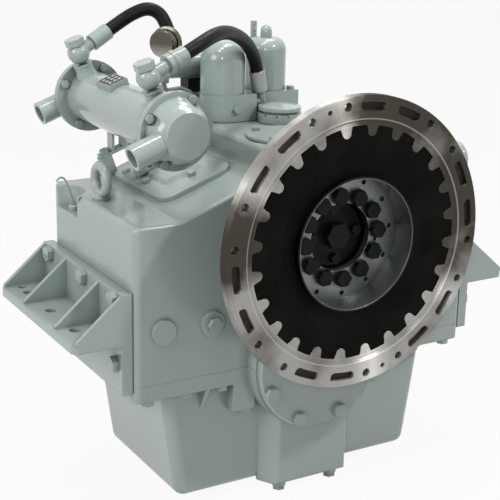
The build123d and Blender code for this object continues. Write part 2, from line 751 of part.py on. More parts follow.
# Shafts, with a shoulder for each bearing
shoulder_front_y = bearing_front_y + bearing_width
shoulder_rear_y = bearing_rear_y - bearing_width
with BuildPart() as input_shaft:
    add(turned([(0, shaft_nose_y), (journal_radius, shaft_nose_y), (journal_radius, shoulder_front_y),
                (shaft_radius, shoulder_front_y), (shaft_radius, shoulder_rear_y),
                (journal_radius, shoulder_rear_y),
                (journal_radius, bearing_rear_y), (0, bearing_rear_y)], aft(0, 0, 0)))
input_shaft.part.label = "input_shaft"
export_step(input_shaft.part, "parts/input_shaft.step")

with BuildPart() as counter_shaft:
    add(turned([(0, bearing_front_y), (journal_radius, bearing_front_y), (journal_radius, shoulder_front_y),
                (shaft_radius, shoulder_front_y), (shaft_radius, shoulder_rear_y),
                (journal_radius, shoulder_rear_y),
                (journal_radius, bearing_rear_y), (0, bearing_rear_y)], aft(counter_x, 0, counter_z)))
counter_shaft.part.label = "counter_shaft"
export_step(counter_shaft.part, "parts/counter_shaft.step")

output_front_y = output_boss_y + 9
output_shoulder_front_y = output_front_y + output_bearing_width
output_shoulder_rear_y = bearing_rear_y - output_bearing_width
flange_front_y = case_rear_y + output_seal_length + flange_gap
flange_rear_y = flange_front_y + flange_hub_length + flange_disc
with BuildPart() as output_shaft:
    add(turned([(0, output_front_y), (output_journal_radius, output_front_y),
                (output_journal_radius, output_shoulder_front_y),
                (output_shaft_radius, output_shoulder_front_y),
                (output_shaft_radius, output_shoulder_rear_y),
                (output_journal_radius, output_shoulder_rear_y),
                (output_journal_radius, bearing_rear_y), (output_tail_radius, bearing_rear_y),
                (output_tail_radius, flange_rear_y - 6), (0, flange_rear_y - 6)], aft(0, 0, split_z)))
output_shaft.part.label = "output_shaft"
export_step(output_shaft.part, "parts/output_shaft.step")

# Roller bearings, one plain ring each
with BuildPart() as shaft_bearings:
    for x, z, y, width, bore, radius in (
        (0, 0, bearing_front_y, bearing_width, journal_radius, bearing_radius),
        (0, 0, shoulder_rear_y, bearing_width, journal_radius, bearing_radius),
        (counter_x, counter_z, bearing_front_y, bearing_width, journal_radius, bearing_radius),
        (counter_x, counter_z, shoulder_rear_y, bearing_width, journal_radius, bearing_radius),
        (0, split_z, output_front_y, output_bearing_width, output_journal_radius, output_bearing_radius),
        (0, split_z, output_shoulder_rear_y, output_bearing_width, output_journal_radius,
         output_bearing_radius),
    ):
        add(turned([(bore + fit_clearance, y), (radius - fit_clearance, y),
                    (radius - fit_clearance, y + width), (bore + fit_clearance, y + width)], aft(x, 0, z)))
shaft_bearings.part.label = "shaft_bearings"
export_step(shaft_bearings.part, "parts/shaft_bearings.step")

# Clutch drums, one on each input shaft
drum_profile = [(shaft_radius + fit_clearance, 0), (clutch_radius - 6, 0), (clutch_radius, 6),
                (clutch_radius, clutch_width), (clutch_radius - 10, clutch_width),
                (clutch_radius - 10, clutch_width - 8),
                (shaft_radius + 12, clutch_width - 8), (shaft_radius + 12, clutch_width),
                (shaft_radius + fit_clearance, clutch_width)]
with BuildPart() as ahead_clutch:
    add(turned(drum_profile, aft(0, clutch_front_y, 0)))
ahead_clutch.part.label = "ahead_clutch"
export_step(ahead_clutch.part, "parts/ahead_clutch.step")

with BuildPart() as astern_clutch:
    add(turned(drum_profile, aft(counter_x, clutch_front_y, counter_z)))
astern_clutch.part.label = "astern_clutch"
export_step(astern_clutch.part, "parts/astern_clutch.step")

# Gears; every tooth angle follows from the gear before it in the train
transfer_line = degrees(atan2(counter_z, counter_x))
astern_line = degrees(atan2(split_z - counter_z, -counter_x))
counter_tooth = mesh_angle(transfer_teeth, transfer_teeth, transfer_line, transfer_line + 180)
output_tooth = mesh_angle(output_teeth, pinion_teeth, -90, 90)
astern_tooth = mesh_angle(pinion_teeth, output_teeth, output_tooth, astern_line)
gear_bore = shaft_radius + fit_clearance

with BuildPart() as transfer_gear_input:
    add(gear(transfer_teeth, transfer_front_y, transfer_width, gear_bore, 0, 0, transfer_line))
transfer_gear_input.part.label = "transfer_gear_input"
export_step(transfer_gear_input.part, "parts/transfer_gear_input.step")

with BuildPart() as transfer_gear_counter:
    add(gear(transfer_teeth, transfer_front_y, transfer_width, gear_bore, counter_x, counter_z,
             counter_tooth))
transfer_gear_counter.part.label = "transfer_gear_counter"
export_step(transfer_gear_counter.part, "parts/transfer_gear_counter.step")

with BuildPart() as ahead_pinion:
    add(gear(pinion_teeth, pinion_front_y, pinion_width, gear_bore, 0, 0, -90))
ahead_pinion.part.label = "ahead_pinion"
export_step(ahead_pinion.part, "parts/ahead_pinion.step")

with BuildPart() as astern_pinion:
    add(gear(pinion_teeth, pinion_front_y, pinion_width, gear_bore, counter_x, counter_z, astern_tooth))
astern_pinion.part.label = "astern_pinion"
export_step(astern_pinion.part, "parts/astern_pinion.step")

with BuildPart() as output_gear:
    add(gear(output_teeth, pinion_front_y + 2, pinion_width - 4, output_shaft_radius + fit_clearance,
             0, split_z, output_tooth))
output_gear.part.label = "output_gear"
export_step(output_gear.part, "parts/output_gear.step")

# Output flange with its bolt circle
with BuildPart() as output_flange:
    add(turned([(output_tail_radius + fit_clearance, flange_front_y), (flange_hub_radius, flange_front_y),
                (flange_hub_radius, flange_rear_y - flange_disc),
                (flange_radius, flange_rear_y - flange_disc),
                (flange_radius, flange_rear_y), (output_tail_radius + fit_clearance, flange_rear_y)],
               aft(0, 0, split_z)))
    with BuildSketch(Plane(origin=(0, flange_rear_y, split_z), x_dir=(1, 0, 0), z_dir=(0, -1, 0))):
        with PolarLocations(flange_hole_circle_radius, flange_hole_count):
            Circle(flange_hole_radius)
    extrude(amount=flange_disc, mode=Mode.SUBTRACT)
output_flange.part.label = "output_flange"
export_step(output_flange.part, "parts/output_flange.step")

# Side brackets: a bolted plate, a shelf with the mounting holes and four gussets
bracket_front_gusset = 83.0
bracket_rear_gusset = 216.0
bracket_small_hole_radius = 6.0
bracket_shelf_x = case_half_width + bracket_reach
bracket_rear_y = bracket_front_y + bracket_length
gusset_spots = [bracket_front_y, bracket_front_y + bracket_front_gusset,
                bracket_front_y + bracket_rear_gusset,
                bracket_rear_y - bracket_gusset]
shelf_hole_spots = [bracket_front_y + 68, bracket_front_y + bracket_length / 2 + 10, bracket_rear_y - 48]
bay_bolt_shares = (0.2, 0.42, 0.7)
bay_bolt_spots = [start + bracket_gusset + share * (end - start - bracket_gusset)
                  for start, end, share in zip(gusset_spots, gusset_spots[1:], bay_bolt_shares)]
upper_bolt_drop = 12.0
lower_bolt_drop = 118.0
bracket_bolt_heights = [bracket_top_z - upper_bolt_drop, bracket_top_z - lower_bolt_drop]

with BuildPart() as side_bracket_right:
    with BuildSketch(side(case_half_width)):
        with Locations((bracket_front_y + bracket_length / 2, (bracket_top_z + bracket_bottom_z) / 2)):
            Rectangle(bracket_length, bracket_top_z - bracket_bottom_z)
        with Locations(*[(y, z) for y in bay_bolt_spots for z in bracket_bolt_heights]):
            Circle(bracket_bolt_radius + curve_gap, mode=Mode.SUBTRACT)
    extrude(amount=bracket_plate)
    with BuildPart(mode=Mode.PRIVATE) as shelf:
        with BuildSketch(Plane.XY.offset(bracket_base_top_z)):
            with Locations((case_half_width + bracket_reach / 2, bracket_front_y + bracket_length / 2)):
                Rectangle(bracket_reach, bracket_length)
            with Locations(*[(bracket_shelf_x - bracket_hole_inset, y) for y in shelf_hole_spots]):
                Circle(bracket_hole_radius, mode=Mode.SUBTRACT)
            with Locations(*[(bracket_shelf_x - bracket_hole_inset, y)
                             for y in (bracket_front_y + 35, bracket_rear_y - 18)]):
                Circle(bracket_small_hole_radius, mode=Mode.SUBTRACT)
        extrude(amount=-bracket_base)
        outer = shelf.edges().filter_by(Axis.Z).filter_by(lambda e: e.center().X > bracket_shelf_x - 1)
        fillet(outer.filter_by(GeomType.LINE), bracket_corner_radius)
    add(shelf.part)
    for y in gusset_spots:
        with BuildSketch(front(y)):
            Polygon((case_half_width + bracket_plate - 1, bracket_base_top_z - 1),
                    (bracket_shelf_x - 5, bracket_base_top_z - 1),
                    (bracket_shelf_x - 5, bracket_base_top_z + 4),
                    (case_half_width + bracket_plate, bracket_top_z - 2),
                    (case_half_width + bracket_plate - 1, bracket_top_z - 2), align=None)
        extrude(amount=-bracket_gusset)
side_bracket_right.part.label = "side_bracket_right"
export_step(side_bracket_right.part, "parts/side_bracket_right.step")

with BuildPart() as side_bracket_left:
    add(side_bracket_right.part)
    mirror(about=Plane.YZ, mode=Mode.REPLACE)
side_bracket_left.part.label = "side_bracket_left"
export_step(side_bracket_left.part, "parts/side_bracket_left.step")

with BuildPart() as bracket_bolts:
    for sign in (-1, 1):
        with Locations(*[Location((sign * (case_half_width + bracket_plate), y, z), (0, 90 * sign, 0))
                         for y in bay_bolt_spots for z in bracket_bolt_heights]):
            add(bolt(bracket_bolt_flats, bracket_bolt_radius, bracket_plate))
bracket_bolts.part.label = "bracket_bolts"
export_step(bracket_bolts.part, "parts/bracket_bolts.step")

# Inspection cover on the left slope, its centre raised with a bevel
inspection_border = 31.0
inspection_front_border = 52.0
raised_width = inspection_width - inspection_border - inspection_front_border
cover_middle = (inspection_u + inspection_length / 2, inspection_front_y + inspection_width / 2)
raised_middle = (cover_middle[0], inspection_front_y + inspection_front_border + raised_width / 2)
with BuildPart() as inspection_cover:
    with BuildSketch(roof):
        with Locations(cover_middle):
            RectangleRounded(inspection_length, inspection_width, inspection_corner_radius)
    extrude(amount=inspection_plate)
    with BuildSketch(roof.offset(inspection_plate)):
        with Locations(raised_middle):
            Rectangle(inspection_length - 2 * inspection_border, raised_width)
    extrude(amount=inspection_rise, taper=45)
inspection_cover.part.label = "inspection_cover"
export_step(inspection_cover.part, "parts/inspection_cover.step")

edge_u = inspection_length / 2 - 18
inspection_bolt_spots = [(u, v) for u in (-edge_u, edge_u) for v in (-4, inspection_width / 2 - 29.5)]
inspection_bolt_spots += [(9, 40.5 - inspection_width / 2), (9, inspection_width / 2 - 14)]
inspection_bolt_flats = 13.0
with BuildPart() as inspection_bolts:
    with BuildSketch(roof.offset(inspection_plate)):
        with Locations(*[(cover_middle[0] + u, cover_middle[1] + v) for u, v in inspection_bolt_spots]):
            RegularPolygon(inspection_bolt_flats / 2, 6, major_radius=False)
    extrude(amount=inspection_bolt_flats * bolt_head_ratio)
inspection_bolts.part.label = "inspection_bolts"
export_step(inspection_bolts.part, "parts/inspection_bolts.step")

# Eye bolts: a collar and a ring, one on the left shoulder and one on the front right pad
with BuildPart() as eye_bolts:
    for spot, base_z in ((left_eye, shoulder_z), (right_eye, shoulder_z + eye_pad_height)):
        add(turned([(0, 0), (eye_collar_radius, 0), (eye_collar_radius, 4), (10, 10), (0, 10)],
                   Plane(origin=(*spot, base_z))))
        with BuildSketch(Plane(origin=(*spot, base_z + eye_height), x_dir=(1, 0, 0), z_dir=(0, -1, 0))):
            with Locations((0, eye_radius - eye_wire_radius)):
                Circle(eye_wire_radius)
        revolve(axis=Axis((*spot, base_z + eye_height), (1, 0, 0)))
eye_bolts.part.label = "eye_bolts"
export_step(eye_bolts.part, "parts/eye_bolts.step")

# Dipstick: a tube in the corner pocket, its cap and the bent wire handle
dipstick_cap_radius = 9.5
dipstick_cap_height = 9.0
dipstick_wire_radius = 1.6
dipstick_length = 190.0
with BuildPart() as dipstick:
    add(turned([(0, -dipstick_length), (dipstick_radius, -dipstick_length), (dipstick_radius, 0),
                (dipstick_cap_radius, 0), (dipstick_cap_radius, dipstick_cap_height - 2),
                (dipstick_cap_radius - 2, dipstick_cap_height), (0, dipstick_cap_height)],
               Plane(origin=(dipstick_x, dipstick_y, pocket_floor_z))))
    wire_z = pocket_floor_z + dipstick_cap_height - 1
    with BuildLine(mode=Mode.PRIVATE) as wire:
        FilletPolyline((dipstick_x, dipstick_y, wire_z), (dipstick_x - 9, dipstick_y, wire_z + 30),
                       (dipstick_x - 16, dipstick_y, wire_z + 47), (dipstick_x - 24, dipstick_y, wire_z + 51),
                       (dipstick_x - 31, dipstick_y, wire_z + 43), radius=[20, 7, 5])
    with BuildSketch(Plane(origin=wire.line @ 0, z_dir=wire.line % 0)):
        Circle(dipstick_wire_radius)
    sweep(path=wire.line)
dipstick.part.label = "dipstick"
export_step(dipstick.part, "parts/dipstick.step")

# Plugs: one in the front wall's drilled boss, two under the sump
plug_flats = 21.0
with BuildPart() as case_plugs:
    with BuildSketch(front(case_front_y - plug_boss_height)):
        with Locations(plug_boss_spots[1]):
            RegularPolygon(plug_flats / 2, 6, major_radius=False)
    extrude(amount=plug_flats * bolt_head_ratio)
    with BuildSketch(Plane.XY.offset(sump_bottom_z - drain_boss_height)):
        with Locations(*drain_spots):
            RegularPolygon(drain_radius * 0.8, 6, major_radius=False)
    extrude(amount=-drain_radius * 0.6)
case_plugs.part.label = "case_plugs"
export_step(case_plugs.part, "parts/case_plugs.step")

# Oil cooler: a tube along the gearbox with a flange at each end and two ports on top
cooler_rear_y = cooler_front_y + cooler_length
cooler_up = Vector(-sin(radians(cooler_tilt)), 0, cos(radians(cooler_tilt)))
cooler_out = Vector(-cos(radians(cooler_tilt)), 0, -sin(radians(cooler_tilt)))
port_spots = [cooler_front_y + port_inset + cooler_flange, cooler_rear_y - port_inset + cooler_flange - 1]
port_radius = 15.5


def on_cooler(y, direction, reach):
    """A plane across a spoke of the cooler, the given reach from its axis."""
    origin = Vector(cooler_x, y, cooler_z) + direction * reach
    return Plane(origin=origin, x_dir=(0, 1, 0), z_dir=direction)


with BuildPart() as cooler_shell:
    add(turned([(cooler_radius - cooler_wall, cooler_front_y), (cooler_flange_radius, cooler_front_y),
                (cooler_flange_radius, cooler_front_y + cooler_flange),
                (cooler_radius, cooler_front_y + cooler_flange),
                (cooler_radius, cooler_rear_y - cooler_flange),
                (cooler_flange_radius, cooler_rear_y - cooler_flange),
                (cooler_flange_radius, cooler_rear_y), (cooler_radius - cooler_wall, cooler_rear_y)],
               aft(cooler_x, 0, cooler_z)))
    for y in port_spots:
        add(turned([(0, cooler_radius - 3.5), (port_radius + 3, cooler_radius - 3.5),
                    (port_radius, cooler_radius + 8), (port_radius, cooler_radius + 16),
                    (0, cooler_radius + 16)], on_cooler(y, cooler_up, 0)))
cooler_shell.part.label = "cooler_shell"
export_step(cooler_shell.part, "parts/cooler_shell.step")

cap_inner_radius = cooler_radius - cooler_wall
cap_profile = [(0, cap_depth - 4), (cap_inner_radius - 14, cap_depth - 4),
               (cap_inner_radius - 4, cap_depth - 10),
               (cap_inner_radius, 12), (cap_inner_radius, -cooler_flange),
               (cooler_flange_radius, -cooler_flange),
               (cooler_flange_radius, 0), (cooler_bolt_radius, 0), (cooler_bolt_radius - 4, cap_depth * 0.31),
               (cooler_bolt_radius - 8, cap_depth * 0.55), (cooler_bolt_radius - 12, cap_depth * 0.72),
               (cooler_bolt_radius - 17, cap_depth), (0, cap_depth)]
bolt_relief = 9.0


def cooler_cap(joint_y, facing):
    """An end cap with its water nozzle, on the joint plane, facing along Y by the sign given."""
    cap_plane = Plane(origin=(cooler_x, joint_y, cooler_z), x_dir=(facing, 0, 0), z_dir=(0, facing, 0))
    nozzle_y = joint_y + facing * (nozzle_inset)
    spoke = on_cooler(nozzle_y, cooler_out, 0)
    with BuildPart() as cap:
        add(turned([(radius, height + cooler_flange) for radius, height in cap_profile], cap_plane))
        add(turned([(0, cap_inner_radius - 8), (nozzle_radius, cap_inner_radius - 8),
                    (nozzle_radius, nozzle_reach), (0, nozzle_reach)], spoke))
        add(turned([(0, 12), (nozzle_bore_radius, 12), (nozzle_bore_radius, nozzle_reach + 1),
                    (0, nozzle_reach + 1)], spoke), mode=Mode.SUBTRACT)
        with BuildSketch(cap_plane.offset(cooler_flange)):
            with Locations(*cap_bolt_spots(facing)):
                Circle(bolt_relief)
        extrude(amount=cap_depth, mode=Mode.SUBTRACT)
    return cap.part


def cap_bolt_spots(facing):
    """Centres of a cap's four bolts on its joint plane."""
    angles = [radians(63.3 + 90 * n) for n in range(4)]
    return [(facing * cooler_bolt_radius * cos(a), -facing * cooler_bolt_radius * sin(a) * facing)
            for a in angles]


with BuildPart() as cooler_cap_front:
    add(cooler_cap(cooler_front_y, -1))
cooler_cap_front.part.label = "cooler_cap_front"
export_step(cooler_cap_front.part, "parts/cooler_cap_front.step")

with BuildPart() as cooler_cap_rear:
    add(cooler_cap(cooler_rear_y, 1))
cooler_cap_rear.part.label = "cooler_cap_rear"
export_step(cooler_cap_rear.part, "parts/cooler_cap_rear.step")

cooler_bolt_flats = 13.0
with BuildPart() as cooler_bolts:
    for joint_y, facing in ((cooler_front_y, -1), (cooler_rear_y, 1)):
        for face_y, turn in ((joint_y + facing * cooler_flange, -90 * facing),
                             (joint_y - facing * cooler_flange, 90 * facing)):
            for n in range(4):
                angle = radians(63.3 + 90 * n)
                spot = (cooler_x + cooler_bolt_radius * cos(angle), face_y,
                        cooler_z + cooler_bolt_radius * sin(angle))
                with Locations(Location(spot, (turn, 0, 0))):
                    add(bolt(cooler_bolt_flats))
cooler_bolts.part.label = "cooler_bolts"
export_step(cooler_bolts.part, "parts/cooler_bolts.step")

# Cooler brackets: a bar along the slope with legs cut to the shell
def cooler_bracket(front_y, foot_height, left_u, right_u, leg_spots):
    """One bracket; its bar lies the given height above the roof."""
    with BuildPart() as bracket:
        for x in leg_spots:
            with BuildSketch(Plane.XY.offset(cooler_z)):
                with Locations((x, front_y + cooler_bar_width / 2)):
                    Rectangle(cooler_leg, cooler_bar_width)
            extrude(amount=-cooler_z)
        split(bisect_by=roof.offset(foot_height), keep=Keep.TOP)
        with BuildSketch(roof.offset(foot_height)):
            with Locations(((left_u + right_u) / 2, front_y + cooler_bar_width / 2)):
                Rectangle(right_u - left_u, cooler_bar_width)
        extrude(amount=cooler_bar)
        add(turned([(0, -10), (cooler_radius + curve_gap, -10), (cooler_radius + curve_gap, 50), (0, 50)],
                   aft(cooler_x, front_y, cooler_z)), mode=Mode.SUBTRACT)
    return bracket.part


rear_bar_left = cooler_foot.X - cooler_bar_half_length
rear_bar_right = cooler_foot.X + cooler_bar_half_length
front_bar_height = inspection_plate + inspection_rise
front_bar_left = cooler_foot.X - cooler_bar_half_length / 2
front_bar_right = cooler_foot.X + cooler_bar_half_length
front_bolt_u = cooler_foot.X + 12
with BuildPart() as cooler_brackets:
    add(cooler_bracket(rear_bar_y, rear_bar_height, rear_bar_left, rear_bar_right,
                       (cooler_x + 11, cooler_x + 32)))
    add(cooler_bracket(front_bar_y, front_bar_height, front_bar_left, front_bar_right, (cooler_x + 26,)))
cooler_brackets.part.label = "cooler_brackets"
export_step(cooler_brackets.part, "parts/cooler_brackets.step")

bracket_screw_flats = 15.0
with BuildPart() as cooler_bracket_bolts:
    for u, y, height in (
        (rear_bar_left + 11, rear_bar_y, rear_bar_height),
        (rear_bar_right - 11, rear_bar_y, rear_bar_height),
        (front_bolt_u, front_bar_y, front_bar_height),
    ):
        with BuildSketch(roof.offset(height + cooler_bar)):
            with Locations((u, y + cooler_bar_width / 2)):
                RegularPolygon(bracket_screw_flats / 2, 6, major_radius=False)
        extrude(amount=bracket_screw_flats * bolt_head_ratio)
cooler_bracket_bolts.part.label = "cooler_bracket_bolts"
export_step(cooler_bracket_bolts.part, "parts/cooler_bracket_bolts.step")

# Bare saddle on the cooler for a rating plate
saddle_width = 35.0
saddle_length = 50.0
saddle_height = 8.0
saddle_y = 357.0
with BuildPart() as plate_saddle:
    with BuildSketch(on_cooler(saddle_y, cooler_up, cooler_radius + saddle_height)):
        Rectangle(saddle_length, saddle_width)
    extrude(amount=-saddle_height - 6)
    add(turned([(0, -saddle_length), (cooler_radius, -saddle_length), (cooler_radius, saddle_length),
                (0, saddle_length)], aft(cooler_x, saddle_y, cooler_z)), mode=Mode.SUBTRACT)
plate_saddle.part.label = "plate_saddle"
export_step(plate_saddle.part, "parts/plate_saddle.step")

# Swivel unions on the ports: washer, ball with its side arm, hexagon cap
washer_thickness = 4.0
banjo_cap_height = 12.0
arm_radius = 10.5
port_top = cooler_radius + 16
ball_seat = port_top + washer_thickness
ball_spots = [Vector(cooler_x, y, cooler_z) + cooler_up * banjo_height for y in port_spots]
front_hose_start = ball_spots[0] + Vector(66.4, 8, 30.7)
rear_hose_start = ball_spots[1] + Vector(56, 5, 33.1)
arm_lines = [(start - ball).normalized()
             for start, ball in zip((front_hose_start, rear_hose_start), ball_spots)]

cap_seat = banjo_height + 14.0
with BuildPart() as hose_unions:
    with Locations(*ball_spots):
        Sphere(banjo_radius)
    split(bisect_by=on_cooler(0, cooler_up, ball_seat), keep=Keep.TOP)
    split(bisect_by=on_cooler(0, cooler_up, cap_seat), keep=Keep.BOTTOM)
    for ball, line, start in zip(ball_spots, arm_lines, (front_hose_start, rear_hose_start)):
        with BuildSketch(Plane(origin=ball, z_dir=line)):
            Circle(arm_radius)
        extrude(amount=(start - ball).length - cuff_length)
    for y in port_spots:
        add(turned([(0, port_top), (port_radius + 1, port_top), (port_radius + 1, ball_seat), (0, ball_seat)],
                   on_cooler(y, cooler_up, 0)))
        with BuildSketch(on_cooler(y, cooler_up, cap_seat)):
            RegularPolygon(banjo_cap_flats / 2, 6, major_radius=False)
        extrude(amount=banjo_cap_height)
hose_unions.part.label = "hose_unions"
export_step(hose_unions.part, "parts/hose_unions.step")

# Control block on the crown: a low rear step and a taller front part with a rounded end
block_round = block_depth / 2
block_back_y = rear_block_front_y + rear_block_depth
dome_x = block_left_x + block_round
dome_y = block_front_y + block_round
block_top_z = crown_top_z + block_height
rear_block_top_z = crown_top_z + rear_block_height
filter_y = block_back_y - filter_radius
elbow_y = rear_block_front_y - 10
elbow_z = crown_top_z + 27
elbow_flange_radius = 14.0
elbow_flange = 5.0
neck_radius = filler_radius - 6.5
neck_height = 4.0
with BuildPart() as control_block:
    with BuildSketch(Plane.XY.offset(crown_top_z)):
        with Locations((dome_x, dome_y)):
            Circle(block_round)
        with Locations(((dome_x + block_split_x) / 2, dome_y)):
            Rectangle(block_split_x - dome_x, block_depth)
    extrude(amount=block_height)
    with BuildSketch(Plane.XY.offset(crown_top_z)):
        with Locations(((dome_x + block_right_x) / 2, rear_block_front_y + rear_block_depth / 2)):
            Rectangle(block_right_x - dome_x, rear_block_depth)
    extrude(amount=rear_block_height)
    with BuildSketch(side(block_split_x)):
        with Locations((elbow_y, elbow_z)):
            Circle(elbow_flange_radius)
    extrude(amount=elbow_flange)
    # Room for the turning filler cap
    with BuildSketch(Plane(origin=(filler_x, filler_y, crown_top_z + filler_height))):
        Circle(filler_radius + curve_gap * 3)
    extrude(amount=rear_block_height, mode=Mode.SUBTRACT)
    # Boss and neck of the oil filler, joined to the rear step
    with BuildSketch(Plane(origin=(filler_x, filler_y, crown_top_z))):
        Circle(filler_radius)
        with Locations((0, (rear_block_front_y - filler_y) / 2)):
            Rectangle(filler_radius, rear_block_front_y - filler_y)
    extrude(amount=filler_height)
    with BuildSketch(Plane(origin=(filler_x, filler_y, crown_top_z + filler_height))):
        Circle(neck_radius)
    extrude(amount=neck_height)
control_block.part.label = "control_block"
export_step(control_block.part, "parts/control_block.step")

# Dome cover and filter housing: drawn cans with rounded shoulders
with BuildPart() as dome_cover:
    with BuildSketch(Plane(origin=(dome_x, dome_y, block_top_z))):
        Circle(dome_radius)
    extrude(amount=dome_height)
    fillet(dome_cover.faces().sort_by(Axis.Z)[-1].edges(), dome_radius * 0.78)
dome_cover.part.label = "dome_cover"
export_step(dome_cover.part, "parts/dome_cover.step")

with BuildPart() as filter_housing:
    with BuildSketch(Plane(origin=(filter_x, filter_y, rear_block_top_z))):
        Circle(filter_radius)
    extrude(amount=filter_height)
    fillet(filter_housing.faces().sort_by(Axis.Z)[-1].edges(), filter_radius * 0.58)
filter_housing.part.label = "filter_housing"
export_step(filter_housing.part, "parts/filter_housing.step")

nut_flats = 20.0
nut_hexagon_height = 11.0
nut_height = 21.0
nut_dome_radius = 9.5
with BuildPart() as filter_nut:
    with BuildSketch(Plane(origin=(filter_x, filter_y, rear_block_top_z + filter_height))):
        RegularPolygon(nut_flats / 2, 6, major_radius=False)
    extrude(amount=nut_hexagon_height)
    with Locations((filter_x, filter_y, rear_block_top_z + filter_height + nut_height - nut_dome_radius)):
        Sphere(nut_dome_radius)
filter_nut.part.label = "filter_nut"
export_step(filter_nut.part, "parts/filter_nut.step")

# Control lever: a drilled flat bar on a pivot behind the block
lever_y = block_back_y + 5
lever_thickness = 5.0
lever_width = 10.0
lever_pivot_z = crown_top_z + rear_block_height / 2
lever_hole_radius = 1.5
lever_hole_pitch = 12.0
pivot_radius = 6.0
with BuildPart() as control_lever:
    with BuildSketch(front(lever_y)):
        with Locations((filter_x, lever_pivot_z + lever_length / 2)):
            Rectangle(lever_width, lever_length)
        with Locations((filter_x, lever_pivot_z)):
            Circle(lever_width * 1.1)
        with Locations(*[(filter_x, lever_pivot_z + lever_length - 7 - lever_hole_pitch * n)
                         for n in range(3)]):
            Circle(lever_hole_radius, mode=Mode.SUBTRACT)
        with Locations((filter_x, lever_pivot_z)):
            Circle(pivot_radius + fit_clearance, mode=Mode.SUBTRACT)
    extrude(amount=-lever_thickness)
control_lever.part.label = "control_lever"
export_step(control_lever.part, "parts/control_lever.step")

# Pivot pin of the lever, fixed in the block
with BuildPart() as lever_pivot:
    add(turned([(0, block_back_y), (pivot_radius, block_back_y),
                (pivot_radius, lever_y + lever_thickness + 0.5),
                (pivot_radius + 3, lever_y + lever_thickness + 0.5),
                (pivot_radius + 3, lever_y + lever_thickness + 4),
                (0, lever_y + lever_thickness + 4)], aft(filter_x, 0, lever_pivot_z)))
lever_pivot.part.label = "lever_pivot"
export_step(lever_pivot.part, "parts/lever_pivot.step")

# Scalloped filler cap that turns on the neck
filler_cap_height = 6.0
scallop_count = 12
scallop_radius = 7.0
filler_cap_z = crown_top_z + filler_height + neck_height
with BuildPart() as filler_cap:
    with BuildSketch(Plane(origin=(filler_x, filler_y, filler_cap_z))):
        Circle(filler_radius - 1)
        with PolarLocations(filler_radius + scallop_radius * 0.72, scallop_count):
            Circle(scallop_radius, mode=Mode.SUBTRACT)
    extrude(amount=filler_cap_height)
    add(turned([(0, filler_cap_height), (filler_radius - 6, filler_cap_height),
                (filler_radius * 0.5, filler_cap_height + 2.5), (0, filler_cap_height + 3.2)],
               Plane(origin=(filler_x, filler_y, filler_cap_z))))
filler_cap.part.label = "filler_cap"
export_step(filler_cap.part, "parts/filler_cap.step")

# Round cover on the crown in front of the filler
crown_cover_radius = 67.0
crown_cover_x = -12.0
crown_cover_y = case_front_y + 2 + crown_cover_radius
crown_cover_height = 5.0
with BuildPart() as crown_cover:
    with BuildSketch(Plane(origin=(crown_cover_x, crown_cover_y, crown_top_z))):
        Circle(crown_cover_radius)
    extrude(amount=crown_cover_height)
crown_cover.part.label = "crown_cover"
export_step(crown_cover.part, "parts/crown_cover.step")

block_bolt_flats = 13.0
with BuildPart() as crown_bolts:
    with BuildSketch(front(block_front_y)):
        with Locations((dome_x + 6, crown_top_z + block_height / 2)):
            RegularPolygon(block_bolt_flats / 2, 6, major_radius=False)
    extrude(amount=block_bolt_flats * bolt_head_ratio)
    with BuildSketch(Plane.XY.offset(rear_block_top_z)):
        with Locations((block_right_x - 9, rear_block_front_y + 14), (block_right_x - 9, block_back_y - 14)):
            RegularPolygon(block_bolt_flats / 2, 6, major_radius=False)
    extrude(amount=block_bolt_flats * bolt_head_ratio)
    with BuildSketch(Plane(origin=(crown_cover_x, crown_cover_y, crown_top_z + crown_cover_height))):
        with PolarLocations(crown_cover_radius - 11, 4, start_angle=126):
            RegularPolygon(block_bolt_flats / 2, 6, major_radius=False)
    extrude(amount=block_bolt_flats * bolt_head_ratio)
crown_bolts.part.label = "crown_bolts"
export_step(crown_bolts.part, "parts/crown_bolts.step")

# Elbow on the control block's end face that takes the front hose
elbow_centre = Vector(block_split_x + 24, elbow_y, elbow_z)
elbow_end = elbow_centre + Vector(-13.8, -5.6, 55.8)
elbow_line = (elbow_end - elbow_centre).normalized()
elbow_radius = 9.0
elbow_top = elbow_end - elbow_line * cuff_length
with BuildPart() as block_elbow:
    with BuildSketch(side(block_split_x + elbow_flange)):
        with Locations((elbow_y, elbow_z)):
            Circle(elbow_radius)
    extrude(amount=elbow_centre.X - block_split_x - elbow_flange)
    with Locations(elbow_centre):
        Sphere(elbow_radius + 0.5)
    with BuildSketch(Plane(origin=elbow_top, z_dir=-elbow_line)):
        Circle(elbow_radius)
    extrude(amount=(elbow_top - elbow_centre).length)
block_elbow.part.label = "block_elbow"
export_step(block_elbow.part, "parts/block_elbow.step")

